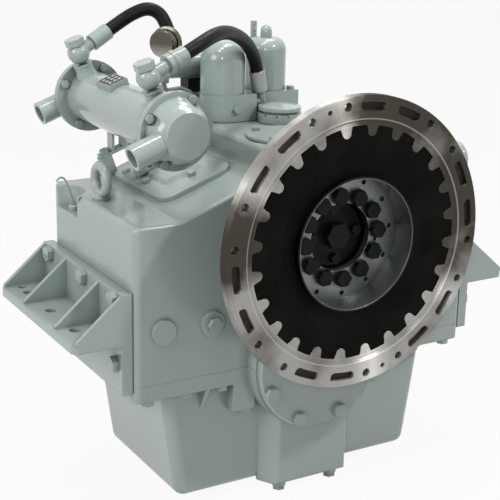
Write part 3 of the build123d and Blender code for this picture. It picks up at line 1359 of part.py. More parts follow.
# Rear valve body on its pedestal, which takes the rear hose
valve_y = case_rear_y - 12
valve_z = crown_top_z + 84
valve_radius = 19.5
valve_left_x = block_left_x - 38
valve_right_x = block_left_x + 57
coil_half_width = 14.5
coil_height = 24.0
pedestal_x = block_left_x + 13
rear_hose_end = Vector(valve_left_x + 15, valve_y + 1.5, valve_z + 28)
rear_cuff_line = Vector(4, -2.5, -23).normalized()
valve_bottom_z = valve_z - valve_radius
with BuildPart() as rear_valve:
    add(turned([(0, valve_left_x), (valve_radius - 2, valve_left_x), (valve_radius, valve_left_x + 2),
                (valve_radius, valve_right_x - 2), (valve_radius - 2, valve_right_x), (0, valve_right_x)],
               Plane(origin=(0, valve_y, valve_z), x_dir=(0, 1, 0), z_dir=(1, 0, 0))))
    with BuildSketch(Plane.XY.offset(valve_bottom_z)):
        with Locations((pedestal_x, valve_y)):
            Rectangle(2 * coil_half_width - 4, 2 * coil_half_width - 6)
    extrude(amount=valve_radius / 2)
    with BuildSketch(Plane.XY.offset(valve_bottom_z - coil_height)):
        with Locations((pedestal_x, case_rear_y - coil_half_width - 2)):
            Rectangle(2 * coil_half_width - 6, 2 * coil_half_width - 6)
    extrude(amount=crown_top_z - valve_bottom_z + coil_height)
rear_valve.part.label = "rear_valve"
export_step(rear_valve.part, "parts/rear_valve.step")

with BuildPart() as valve_coil:
    with BuildSketch(Plane.XY.offset(valve_bottom_z)):
        with Locations((pedestal_x, valve_y)):
            Rectangle(2 * coil_half_width, 2 * coil_half_width)
    extrude(amount=-coil_height)
valve_coil.part.label = "valve_coil"
export_step(valve_coil.part, "parts/valve_coil.step")


def route(start, end, shares):
    """Points between two hose ends, by shares of the level run: along it, to its left and upwards."""
    run = Vector(end.X - start.X, end.Y - start.Y, 0)
    left = Vector(-run.Y, run.X, 0)
    return [start + run * along + left * aside + Vector(0, 0, run.length * rise)
            for along, aside, rise in shares]


front_hose_points = [front_hose_start, front_hose_start + arm_lines[0] * 28.2]
front_hose_points += route(front_hose_start, elbow_end,
                           ((0.232, -0.061, 0.086), (0.403, -0.053, 0.092), (0.598, -0.034, 0.054),
                            (0.807, -0.018, -0.026)))
front_hose_points += [elbow_end + elbow_line * 22, elbow_end]
rear_hose_points = [rear_hose_start, rear_hose_start + arm_lines[1] * 28]
rear_hose_points += route(rear_hose_start, rear_hose_end,
                          ((0.405, 0.105, 0.259), (0.621, 0.091, 0.34), (0.8, 0.073, 0.268),
                           (0.897, 0.033, 0.098)))
rear_hose_points += [rear_hose_end - rear_cuff_line * 23, rear_hose_end]

# Cuffs at the four hose ends; the front hose's lower one has a grooved collar
collar_radius = 17.0
collar_groove_radius = 15.5
with BuildPart() as hose_cuffs:
    for end, line in ((rear_hose_start, -arm_lines[1]), (elbow_end, -elbow_line),
                      (rear_hose_end, rear_cuff_line)):
        with BuildSketch(Plane(origin=end, z_dir=line)):
            Circle(cuff_radius)
        extrude(amount=cuff_length)
    add(turned([(0, 0), (cuff_radius, 0), (cuff_radius, cuff_length - 20), (collar_radius, cuff_length - 18),
                (collar_radius, cuff_length - 11), (collar_groove_radius, cuff_length - 10),
                (collar_groove_radius, cuff_length - 8), (collar_radius, cuff_length - 7),
                (collar_radius, cuff_length - 1), (collar_radius - 1, cuff_length), (0, cuff_length)],
               Plane(origin=front_hose_start, z_dir=-arm_lines[0])))
    add(turned([(0, valve_left_x), (valve_radius, valve_left_x), (valve_radius, valve_right_x),
                (0, valve_right_x)],
               Plane(origin=(0, valve_y, valve_z), x_dir=(0, 1, 0), z_dir=(1, 0, 0))), mode=Mode.SUBTRACT)
hose_cuffs.part.label = "hose_cuffs"
export_step(hose_cuffs.part, "parts/hose_cuffs.step")


# Hoses: straight runs joined by tangent arcs
def hose(points):
    """A hose along the route; each bend is as large as its two runs allow."""
    radii = []
    for before, corner, after in zip(points, points[1:], points[2:]):
        turn = radians((corner - before).get_angle(after - corner))
        shorter = min((corner - before).length, (after - corner).length)
        radii.append(0.45 * shorter / tan(turn / 2))
    with BuildPart() as body:
        with BuildLine() as middle:
            FilletPolyline(*points, radius=radii)
        with BuildSketch(Plane(origin=middle.line @ 0, z_dir=middle.line % 0)):
            Circle(hose_radius)
        sweep()
    length = sum(edge.length for edge in middle.edges())
    print("bend radii", [round(r, 1) for r in radii], "length", round(length, 1),
          "volume error", round(body.part.volume / (pi * hose_radius**2 * length) - 1, 5))
    return body.part


with BuildPart() as front_hose:
    add(hose(front_hose_points))
front_hose.part.label = "front_hose"
export_step(front_hose.part, "parts/front_hose.step")

with BuildPart() as rear_hose:
    add(hose(rear_hose_points))
rear_hose.part.label = "rear_hose"
export_step(rear_hose.part, "parts/rear_hose.step")

# Pressure gauge: a steel case that faces right and aft, dial and glass
gauge_back = Vector(valve_left_x - 33, valve_y - 50, valve_z + 49)
gauge_line = Vector(0.8, 0.6, 0.02).normalized()
gauge_radius = 23.0
gauge_bezel_radius = 27.0
gauge_depth = 24.0
gauge_wall = 1.5
stem_radius = 6.0
union_z = valve_z - 17
pipe_foot = (valve_left_x + 35, valve_y - 30)
pipe_radius = 4.0
gauge_plane = Plane(origin=gauge_back, x_dir=(0, 0, 1), z_dir=gauge_line)
with BuildPart() as gauge_case:
    add(turned([(0, 0), (gauge_radius - 2, 0), (gauge_radius, 2), (gauge_radius, gauge_depth - 6),
                (gauge_bezel_radius, gauge_depth - 5), (gauge_bezel_radius, gauge_depth),
                (gauge_radius - gauge_wall, gauge_depth), (gauge_radius - gauge_wall, gauge_depth - 4),
                (0, gauge_depth - 4)], gauge_plane))
gauge_case.part.label = "gauge_case"
export_step(gauge_case.part, "parts/gauge_case.step")

with BuildPart() as gauge_glass:
    add(turned([(0, gauge_depth - 4), (gauge_radius - gauge_wall, gauge_depth - 4),
                (gauge_radius - gauge_wall, gauge_depth - 1), (0, gauge_depth - 1)], gauge_plane))
gauge_glass.part.label = "gauge_glass"
export_step(gauge_glass.part, "parts/gauge_glass.step")

stem_top = gauge_back + gauge_line * (gauge_depth - 6) / 2
with BuildPart() as gauge_pipe:
    with BuildSketch(Plane(origin=(stem_top.X, stem_top.Y, union_z))):
        RegularPolygon(stem_radius + 3, 6, major_radius=False)
    extrude(amount=14)
    with BuildSketch(Plane(origin=(stem_top.X, stem_top.Y, union_z))):
        Circle(stem_radius)
    extrude(amount=stem_top.Z - union_z)
    add(turned([(0, -1), (gauge_radius + curve_gap, -1), (gauge_radius + curve_gap, gauge_depth),
                (0, gauge_depth)],
               gauge_plane), mode=Mode.SUBTRACT)
    with BuildLine() as pipe_route:
        FilletPolyline((stem_top.X, stem_top.Y, union_z), (stem_top.X + 3, stem_top.Y, union_z - 14),
                       (pipe_foot[0] - 24, pipe_foot[1] - 4, union_z - 14), (*pipe_foot, union_z - 24),
                       (*pipe_foot, crown_top_z),
                       radius=[8, 12, 10])
    with BuildSketch(Plane(origin=pipe_route.line @ 0, z_dir=pipe_route.line % 0)):
        Circle(pipe_radius)
    sweep()
gauge_pipe.part.label = "gauge_pipe"
export_step(gauge_pipe.part, "parts/gauge_pipe.step")
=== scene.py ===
import json
import math

import bmesh
import bpy
import numpy as np
from mathutils import Matrix, Vector

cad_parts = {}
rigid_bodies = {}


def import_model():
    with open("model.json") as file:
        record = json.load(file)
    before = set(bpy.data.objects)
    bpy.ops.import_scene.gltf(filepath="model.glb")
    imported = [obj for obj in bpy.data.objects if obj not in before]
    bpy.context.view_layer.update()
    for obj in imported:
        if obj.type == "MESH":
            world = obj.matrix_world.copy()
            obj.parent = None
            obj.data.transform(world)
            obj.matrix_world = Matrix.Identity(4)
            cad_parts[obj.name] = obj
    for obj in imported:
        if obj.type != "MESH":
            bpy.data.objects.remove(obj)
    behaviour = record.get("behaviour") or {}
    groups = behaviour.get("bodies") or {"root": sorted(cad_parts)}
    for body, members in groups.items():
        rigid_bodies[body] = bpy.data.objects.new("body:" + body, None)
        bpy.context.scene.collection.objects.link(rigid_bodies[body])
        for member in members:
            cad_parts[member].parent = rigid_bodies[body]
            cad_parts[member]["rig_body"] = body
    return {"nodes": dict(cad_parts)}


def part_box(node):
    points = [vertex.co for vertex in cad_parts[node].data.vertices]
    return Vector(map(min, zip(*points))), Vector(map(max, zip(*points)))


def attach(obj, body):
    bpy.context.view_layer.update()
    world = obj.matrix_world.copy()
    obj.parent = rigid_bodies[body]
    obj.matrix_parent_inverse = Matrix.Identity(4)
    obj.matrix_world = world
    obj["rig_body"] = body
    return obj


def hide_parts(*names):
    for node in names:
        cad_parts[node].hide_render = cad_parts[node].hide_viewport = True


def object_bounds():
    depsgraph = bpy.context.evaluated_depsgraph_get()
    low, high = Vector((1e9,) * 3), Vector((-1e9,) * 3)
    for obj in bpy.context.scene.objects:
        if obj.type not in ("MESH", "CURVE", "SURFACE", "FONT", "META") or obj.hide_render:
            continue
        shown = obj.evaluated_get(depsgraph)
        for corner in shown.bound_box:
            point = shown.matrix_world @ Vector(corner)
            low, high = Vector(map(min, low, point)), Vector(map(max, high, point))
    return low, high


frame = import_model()

# Marine reversing gearbox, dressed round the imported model. Metres, in the frame of the CAD:
# X to the right seen from the drive ring, Y aft into the gearbox, Z up.

# Studio
# A plain pale floor under the sump, a plain pale room and soft lamps. The key lamp stands to the left,
# so the left wall and the roofs are light and the front is grey. Four small lamps hang in a row overhead,
# and two small ones in front draw streaks across the turned ring.
cad_low, cad_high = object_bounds()
scene = bpy.context.scene
scene.view_settings.view_transform = "Standard"
camera_place = Vector((-1.1004, -1.5338, 0.5752))
camera_right = Vector((0.863622, -0.503718, 0.020571))
camera_up = Vector((0.133131, 0.267230, 0.954392))
camera_lens = 91.91
lamp_target = Vector((0.0, 0.25, -0.05))
# Each lamp's name, place, width and watts
lamps = (
    ("key_lamp", (-2.3, -0.1, 0.9), 1.1, 23.0),
    ("ring_lamp_right", (0.98, -1.44, 1.93), 0.18, 27.0),
    ("ring_lamp_left", (-1.47, -1.93, 0.94), 0.16, 8.0),
    ("back_lamp", (1.4, 1.6, 2.6), 0.9, 10.0),
    ("roof_lamp_left", (-1.0, -0.2, 2.4), 0.35, 9.0),
    ("roof_lamp_near", (-0.3, 0.1, 2.4), 0.35, 9.0),
    ("roof_lamp_far", (0.4, 0.6, 2.4), 0.35, 9.0),
    ("roof_lamp_right", (0.9, 1.0, 2.4), 0.35, 9.0),
)
room_level = 0.28
floor_half = 60.0
floor_gap = 0.0005
floor_white = 0.93


def shade(tree, kind, inputs=None, **settings):
    """Adds a shader node. An input is a plain value or the socket that feeds it."""
    made = tree.nodes.new("ShaderNode" + kind)
    for name, value in settings.items():
        setattr(made, name, value)
    for name, value in (inputs or {}).items():
        if isinstance(value, bpy.types.NodeSocket):
            tree.links.new(value, made.inputs[name])
        else:
            made.inputs[name].default_value = value
    return made


def reckon(tree, operation, first, second=0.0, clamped=False):
    """A sum of two numbers at each point, by the name of the Math node's operation."""
    return shade(tree, "Math", {0: first, 1: second}, operation=operation, use_clamp=clamped).outputs[0]


def ramp(tree, value, start, end, low, high):
    """Low where the value is start, high where it is end, in proportion between them and level beyond."""
    ends = {"Value": value, "From Min": start, "From Max": end, "To Min": low, "To Max": high}
    return shade(tree, "MapRange", ends).outputs[0]


def new_material(name):
    """An empty material, its node tree and its output node."""
    material = bpy.data.materials.new(name)
    material.use_nodes = True
    material.node_tree.nodes.clear()
    return material, material.node_tree, shade(material.node_tree, "OutputMaterial")


def show(name, mesh, material):
    """Puts a mesh or curve into the scene as an object at the origin, in its material."""
    piece = bpy.data.objects.new(name, mesh)
    scene.collection.objects.link(piece)
    mesh.materials.append(material)
    return piece


def seen(tree):
    """One for a ray from the eye, straight or by way of metal or glass, and nothing for the rays that light
    the object: the largest of the three answers that Light Path gives."""
    ray = shade(tree, "LightPath").outputs
    direct = reckon(tree, "MAXIMUM", ray["Is Camera Ray"], ray["Is Glossy Ray"])
    return reckon(tree, "MAXIMUM", direct, ray["Is Transmission Ray"])


camera = bpy.data.objects.new("camera", bpy.data.cameras.new("camera"))
scene.collection.objects.link(camera)
camera.data.lens = camera_lens
camera_turn = Matrix((camera_right, camera_up, camera_right.cross(camera_up))).transposed().to_4x4()
camera.matrix_world = Matrix.Translation(camera_place) @ camera_turn
scene.camera = camera

for name, place, width, watts in lamps:
    lamp = bpy.data.objects.new(name, bpy.data.lights.new(name, "AREA"))
    lamp.data.shape = "SQUARE"
    lamp.data.size = width
    lamp.data.energy = watts
    lamp.location = place
    lamp.rotation_euler = (lamp_target - lamp.location).to_track_quat("-Z", "Y").to_euler()
    scene.collection.objects.link(lamp)

room = bpy.data.worlds.new("pale_room")
scene.world = room
room.use_nodes = True
room.node_tree.nodes.clear()
strength = ramp(room.node_tree, seen(room.node_tree), 0.0, 1.0, room_level, 1.0)
sky = shade(room.node_tree, "Background", {"Color": (1.0, 1.0, 1.0, 1.0), "Strength": strength})
room.node_tree.links.new(sky.outputs[0], shade(room.node_tree, "OutputWorld").inputs[0])

floor_paint, tree, output = new_material("pale_floor")
plain = shade(tree, "BsdfDiffuse", {"Color": (0.66, 0.66, 0.65, 1.0)})
white = shade(tree, "Emission", {"Color": (1.0, 1.0, 1.0, 1.0), "Strength": 1.0})
share = reckon(tree, "MULTIPLY", seen(tree), floor_white)
mixed = shade(tree, "MixShader", {0: share, 1: plain.outputs[0], 2: white.outputs[0]})
tree.links.new(mixed.outputs[0], output.inputs[0])
floor_mesh = bpy.data.meshes.new("floor")
floor_corners = ((-1, -1), (1, -1), (1, 1), (-1, 1))
floor_mesh.from_pydata([(x * floor_half, y * floor_half, cad_low.z - floor_gap) for x, y in floor_corners],
                       [], [(0, 1, 2, 3)])
show("floor", floor_mesh, floor_paint)

# Cast case, sump and brackets
# Iron castings with soft edges, sprayed all over with one thick coat of grey-green gloss enamel. The
# castings pebble a little under the paint, and the corners are darkened with painted shade.
enamel_colour = (0.318, 0.378, 0.358, 1.0)
enamel_pale = (0.345, 0.405, 0.385, 1.0)
# The colour of the painted shade in the enamel's corners
enamel_painted_shade = (0.115, 0.150, 0.140, 1.0)
peel_height = 0.00005
smooth_angle = math.radians(30)
join_distance = 1e-5
# A large circle of the CAD comes as chords. These say how large it is at least, how near it a chord's ends
# lie, how many radians a chord spans at most, how many points divide it and how far those may move.
least_circle = 0.05
chord_match = 2e-5
chord_turn = 0.16
chord_cuts = 4
chord_push = 0.0012


def noise(tree, scale, detail, roughness=0.5, where=None):
    """A cloudy tone from 0 to 1, fixed to the piece. Scale is about how many clouds fit in a metre."""
    if where is None:
        where = shade(tree, "TexCoord").outputs["Object"]
    inputs = {"Vector": where, "Scale": scale, "Detail": detail, "Roughness": roughness}
    return shade(tree, "TexNoise", inputs).outputs["Fac"]


def mix(tree, share, first, second):
    """The first colour where the share is 0, the second where it is 1, and their mixture between."""
    return shade(tree, "MixRGB", {0: share, 1: first, 2: second}).outputs[0]


def openness(tree, distance):
    """How open a point is: 1 on a free face, down to 0 in a corner whose walls are within the distance."""
    return shade(tree, "AmbientOcclusion", {"Distance": distance}, samples=8).outputs["AO"]


def rounded(tree, radius):
    """The slope of the surface with each edge eased to a radius."""
    return shade(tree, "Bevel", {"Radius": radius}, samples=6).outputs[0]


def relief(tree, height, distance, strength, under=None):
    """The slope with a tone raised on it by up to the distance; under is the slope that it had before."""
    inputs = {"Height": height, "Distance": distance, "Strength": strength}
    if under is not None:
        inputs["Normal"] = under
    return shade(tree, "Bump", inputs).outputs[0]


def coat(tree, output, inputs):
    """Ends a material in one surface with the given colour, roughness and slope."""
    tree.links.new(shade(tree, "BsdfPrincipled", inputs).outputs[0], output.inputs[0])


def enamel(name, pebble, edge, roughness):
    """Gloss enamel: pebble is the height of the casting's grain under it, edge the radius of its corners."""
    material, tree, output = new_material(name)
    cloud = noise(tree, 5.0, 3.0)
    base = mix(tree, ramp(tree, cloud, 0.1, 0.9, 0.0, 1.0), enamel_colour, enamel_pale)
    # Painted shade: the colour goes towards enamel_painted_shade in corners that ambient occlusion finds
    painted_corner_shade = ramp(tree, openness(tree, 0.03), 0.22, 0.82, 0.9, 0.0)
    cast = relief(tree, noise(tree, 330.0, 3.0, roughness=0.55), pebble, 0.8, under=rounded(tree, edge))
    coat(tree, output, {
        "Base Color": mix(tree, painted_corner_shade, base, enamel_painted_shade),
        "Roughness": ramp(tree, cloud, 0.1, 0.9, roughness - 0.03, roughness + 0.05),
        "IOR": 1.5, "Coat Weight": 0.25, "Coat Roughness": 0.1,
        "Normal": relief(tree, noise(tree, 480.0, 1.0), peel_height, 0.4, under=cast)})
    return material


def round_out(work, centre):
    """Divides the short chords of circles about a fore-and-aft line through centre. Each new point's
    offset from the line is scaled by circle over radius, which puts it on the nearest circle."""
    middle = Vector(centre)

    def polar(vert):
        offset = vert.co - middle
        return math.hypot(offset.x, offset.z), math.atan2(offset.z, offset.x), offset.y

    chords = {}
    for edge in work.edges:
        (r0, a0, h0), (r1, a1, h1) = (polar(vert) for vert in edge.verts)
        turn = abs((a1 - a0 + math.pi) % (2 * math.pi) - math.pi)
        level = abs(r0 - r1) < chord_match and abs(h0 - h1) < chord_match
        if r0 > least_circle and level and turn < chord_turn:
            chords[edge] = (r0 + r1) / 2
    old = {vert.co.copy().freeze() for edge in chords for vert in edge.verts}
    made = bmesh.ops.subdivide_edges(work, edges=list(chords), cuts=chord_cuts, use_grid_fill=False)
    circles = set(chords.values())
    for item in made["geom_inner"]:
        if isinstance(item, bmesh.types.BMVert) and item.co.copy().freeze() not in old:
            radius = polar(item)[0]
            gap, circle = min((abs(radius - each), each) for each in circles)
            if gap < chord_push:
                offset = item.co - middle
                item.co.x = middle.x + offset.x * circle / radius
                item.co.z = middle.z + offset.z * circle / radius


def set_smooth(work):
    """Shades all faces smooth and keeps each edge hard that turns by smooth_angle or more."""
    for face in work.faces:
        face.smooth = True
    for edge in work.edges:
        edge.smooth = len(edge.link_faces) == 2 and edge.calc_face_angle() < smooth_angle


def skin(node_name, material, about=None):
    """A smooth copy of a CAD node: its own normals dropped, loose triangles joined, hard edges kept, and
    circles about a fore-and-aft line rounded out where a point of the line is given."""
    source = frame["nodes"][node_name]
    mesh = source.data.copy()
    mesh.name = node_name + "_skin"
    mesh.materials.clear()
    mesh.normals_split_custom_set([(0.0, 0.0, 0.0)] * len(mesh.loops))
    work = bmesh.new()
    work.from_mesh(mesh)
    bmesh.ops.remove_doubles(work, verts=work.verts, dist=join_distance)
    bmesh.ops.dissolve_degenerate(work, edges=work.edges, dist=join_distance)
    if about is not None:
        round_out(work, about)
    set_smooth(work)
    work.to_mesh(mesh)
    work.free()
    piece = show(node_name + "_skin", mesh, material)
    weighted = piece.modifiers.new("flat faces stay flat", "WEIGHTED_NORMAL")
    weighted.keep_sharp = True
    weighted.weight = 100
    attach(piece, source["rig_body"])
    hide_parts(node_name)


cast_enamel = enamel("enamel_on_casting", pebble=0.00005, edge=0.0035, roughness=0.24)
for cast in ("upper_case", "lower_case", "side_bracket_left", "side_bracket_right"):
    skin(cast, cast_enamel)

# Covers and small painted parts
# Machined covers, hexagon screws, plugs and eye bolts, painted over with the case, so they have the
# same coat on a smoother ground with sharper edges.
input_centre = (0.0, 0.0, 0.0)
output_centre = (0.0, 0.0, -0.225)
part_enamel = enamel("enamel_on_machined_part", pebble=0.00005, edge=0.0012, roughness=0.2)
for part in ("rear_covers", "inspection_cover", "cooler_brackets", "control_block", "crown_cover",
             "split_bolts", "cover_bolts", "bracket_bolts", "inspection_bolts", "case_plugs", "cooler_bolts",
             "cooler_bracket_bolts", "crown_bolts", "filter_nut", "eye_bolts", "lever_pivot", "control_lever",
             "rear_valve", "block_elbow"):
    skin(part, part_enamel)
skin("output_cover_front", part_enamel, about=output_centre)
skin("input_covers_front", part_enamel, about=input_centre)

# Pressed and turned covers
# The dome cover, the filter housing and the cooler's shell and caps are smooth thin steel and
# bronze under a thicker, glossier coat.
smooth_enamel = enamel("enamel_on_smooth_metal", pebble=0.00002, edge=0.0015, roughness=0.15)
for part in ("dome_cover", "filter_housing", "cooler_shell", "cooler_cap_front", "cooler_cap_rear",
             "hose_unions", "hose_cuffs", "filler_cap"):
    skin(part, smooth_enamel)

# Gaskets
# Thin gaskets of dark pressed fibre, clamped under the valve block and under the round cover on the
# crown. Each shows as a dark line along the foot of its piece and stands a little proud of it.
gasket_height = 0.0009
gasket_proud = 0.0003
gasket_lift = 0.00005
crown_cover_centre = (-0.012, 0.194)
crown_cover_radius = 0.067
dome_radius = 0.0385
block_round = 0.040
block_split_x = 0.009
rear_block_depth = 0.076
filler_x = 0.042
filler_inset = 0.057
filler_radius = 0.038
notch_before_rear = 0.012
step_beside_filler = 0.016
pole_merge = 1e-7

gasket_fibre, tree, output = new_material("dark_gasket_fibre")
colour = mix(tree, noise(tree, 500.0, 3.0), (0.012, 0.013, 0.013, 1.0), (0.05, 0.055, 0.052, 1.0))
coat(tree, output, {"Base Color": colour, "Roughness": 0.8, "Specular IOR Level": 0.2})


def surface(name, points, material, wrap_u=False, wrap_v=False):
    """Faces over a grid of points [u, v, xyz] on the case: each cell is a quad, and a wrapped side joins
    its last row to its first."""
    rows, columns = points.shape[:2]
    index = np.arange(rows * columns).reshape(rows, columns)
    if wrap_u:
        index = np.vstack([index, index[:1]])
    if wrap_v:
        index = np.hstack([index, index[:, :1]])
    quads = np.stack([index[:-1, :-1], index[1:, :-1], index[1:, 1:], index[:-1, 1:]], axis=-1).reshape(-1, 4)
    mesh = bpy.data.meshes.new(name)
    mesh.from_pydata(points.reshape(-1, 3).tolist(), [], quads.tolist())
    work = bmesh.new()
    work.from_mesh(mesh)
    bmesh.ops.remove_doubles(work, verts=work.verts, dist=pole_merge)
    bmesh.ops.recalc_face_normals(work, faces=work.faces)
    set_smooth(work)
    work.to_mesh(mesh)
    work.free()
    piece = show(name, mesh, material)
    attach(piece, "case")
    return piece


def gasket(name, outline, height):
    """A closed ribbon along an outline. Each corner moves out and in by gasket_proud, at right angles to the
    sum of the unit steps that meet there, and the ribbon is carried up by gasket_height."""
    step = np.roll(outline, -1, axis=0) - outline
    step = step / np.linalg.norm(step, axis=1, keepdims=True)
    along = step + np.roll(step, 1, axis=0)
    out = np.stack([along[:, 1], -along[:, 0]], axis=1)
    out = out / np.linalg.norm(out, axis=1, keepdims=True)
    wide = outline + out * gasket_proud
    tight = outline - out * gasket_proud
    low = np.full((len(outline), 1), height + gasket_lift)
    rows = [np.hstack([tight, low]), np.hstack([wide, low]), np.hstack([wide, low + gasket_height]),
            np.hstack([tight, low + gasket_height])]
    surface(name, np.stack(rows), gasket_fibre, wrap_u=True, wrap_v=True)


def arc(centre, radius, start, end, count):
    """Points round part of a circle: the centre plus the radius times the cosine and sine of count angles
    from start to end."""
    turn = np.radians(np.linspace(start, end, count))
    return np.array(centre) + radius * np.stack([np.cos(turn), np.sin(turn)], axis=1)


block_low, block_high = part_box("control_block")
crown_top = block_low.z
block_middle = np.array([block_low.x + block_round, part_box("dome_cover")[0].y + dome_radius])
rear_front = block_high.y - rear_block_depth
filler_centre = np.array([filler_x, rear_front - filler_inset])
block_outline = np.vstack([
    arc(block_middle, block_round, 90, 270, 25),
    [[block_split_x, block_middle[1] - block_round]],
    [[block_split_x, rear_front - notch_before_rear]],
    arc(filler_centre, filler_radius, 145, 389, 33),
    [[filler_x + filler_radius / 2 + step_beside_filler, rear_front]],
    [[block_high.x, rear_front]],
    [[block_high.x, block_high.y]],
    [[block_middle[0], block_high.y]]])
gasket("valve_block_gasket", block_outline, crown_top)
gasket("crown_cover_gasket", arc(crown_cover_centre, crown_cover_radius, 0, 350, 72), crown_top)

# Breather holes under the filler cap
# Three small holes, drilled side by side in the round neck that the filler cap sits on, let the case
# breathe. They are not cut: a disc of painted shade stands for each, laid on the neck's curve.
breather_radius = 0.0016
breather_drop = 0.0022
filler_height = 0.017
spot_proud = 0.00012
# Near black for the gauge's printed marks, needle and vent plug, and painted shade for the breather holes
print_black_and_hole_shade, tree, output = new_material("black_print_and_painted_hole_shade")
colour = mix(tree, noise(tree, 900.0, 2.0), (0.004, 0.005, 0.005, 1.0), (0.016, 0.018, 0.018, 1.0))
coat(tree, output, {"Base Color": colour, "Roughness": 0.9, "Specular IOR Level": 0.1})
for number, turn in enumerate((200, 232, 262)):
    out = np.array([math.cos(math.radians(turn)), math.sin(math.radians(turn)), 0.0])
    across = np.array([-out[1], out[0], 0.0])
    middle = np.array([*filler_centre, crown_top + filler_height - breather_drop])
    middle += out * (filler_radius + spot_proud)
    spread = np.linspace(0, breather_radius, 4)[:, None, None]
    circle = np.radians(np.arange(0, 360, 20))[None, :, None]
    spot = middle + spread * (np.cos(circle) * across + np.sin(circle) * np.array([0.0, 0.0, 1.0]))
    spot -= out * (((spot - middle) @ across) ** 2)[..., None] / (2 * filler_radius)
    surface("breather_hole_shade_%d" % (number + 1), spot, print_black_and_hole_shade, wrap_v=True)

# Gears and shafts inside the case
# Forged steel, cut and ground, on roller bearings. It runs in oil, so it stays clean and has a dull
# shine, and the CAD's own shapes only get this finish.
gear_steel, tree, output = new_material("ground_gear_steel")
grind = noise(tree, 600.0, 2.0)
coat(tree, output, {"Base Color": (0.30, 0.29, 0.27, 1.0), "Metallic": 1.0,
                    "Roughness": ramp(tree, grind, 0.0, 1.0, 0.25, 0.5),
                    "Normal": relief(tree, grind, 0.0001, 0.4)})
for inner in ("input_shaft", "counter_shaft", "output_shaft", "shaft_bearings", "ahead_clutch",
              "astern_clutch", "ahead_pinion", "astern_pinion", "output_gear", "transfer_gear_input",
              "transfer_gear_counter"):
    held = frame["nodes"][inner].data
    held.materials.clear()
    held.materials.append(gear_steel)

# Drive ring, cup and flange
# The drive ring, cup, hub and output flange are faced in a lathe, so their faces carry fine circular
# marks that draw the light out into streaks across them. The ring's colour is darkened with painted shade
# on the upper right and in a narrow streak on the left, the edge of its step carries a painted highlight,
# and its slots are left as cast, their floors darkened further with painted shade.
# Which way from the axis the painted shade darkens the ring, and over what span of the cosine
painted_shade_side = (0.77, 0.0, 0.64)
painted_shade_reach = (0.40, 0.68)
painted_streak_side = (-0.99, 0.0, 0.14)
painted_streak_reach = (0.93, 1.0)
ring_slot_inner = 0.2085
ring_slot_outer = 0.2235
slot_floor = 0.010
slot_floor_front = slot_floor - 0.0012
slot_floor_back = slot_floor + 0.0004
# The radius of the ring's step, and the span round it of the painted highlight on its edge
step_radius = 0.197
step_highlight_reach = (0.0003, 0.0016)
# How deep into a hole its walls stay free of the painted shade
hole_mouth = (0.0015, 0.005)
cup_black_radius = 0.1052
no_radius = 9.0


def vectors(tree, operation, first, second=(0.0, 0.0, 0.0)):
    """The outputs of a sum of two vectors at each point, by the name of the node's operation."""
    return shade(tree, "VectorMath", {0: first, 1: second}, operation=operation).outputs


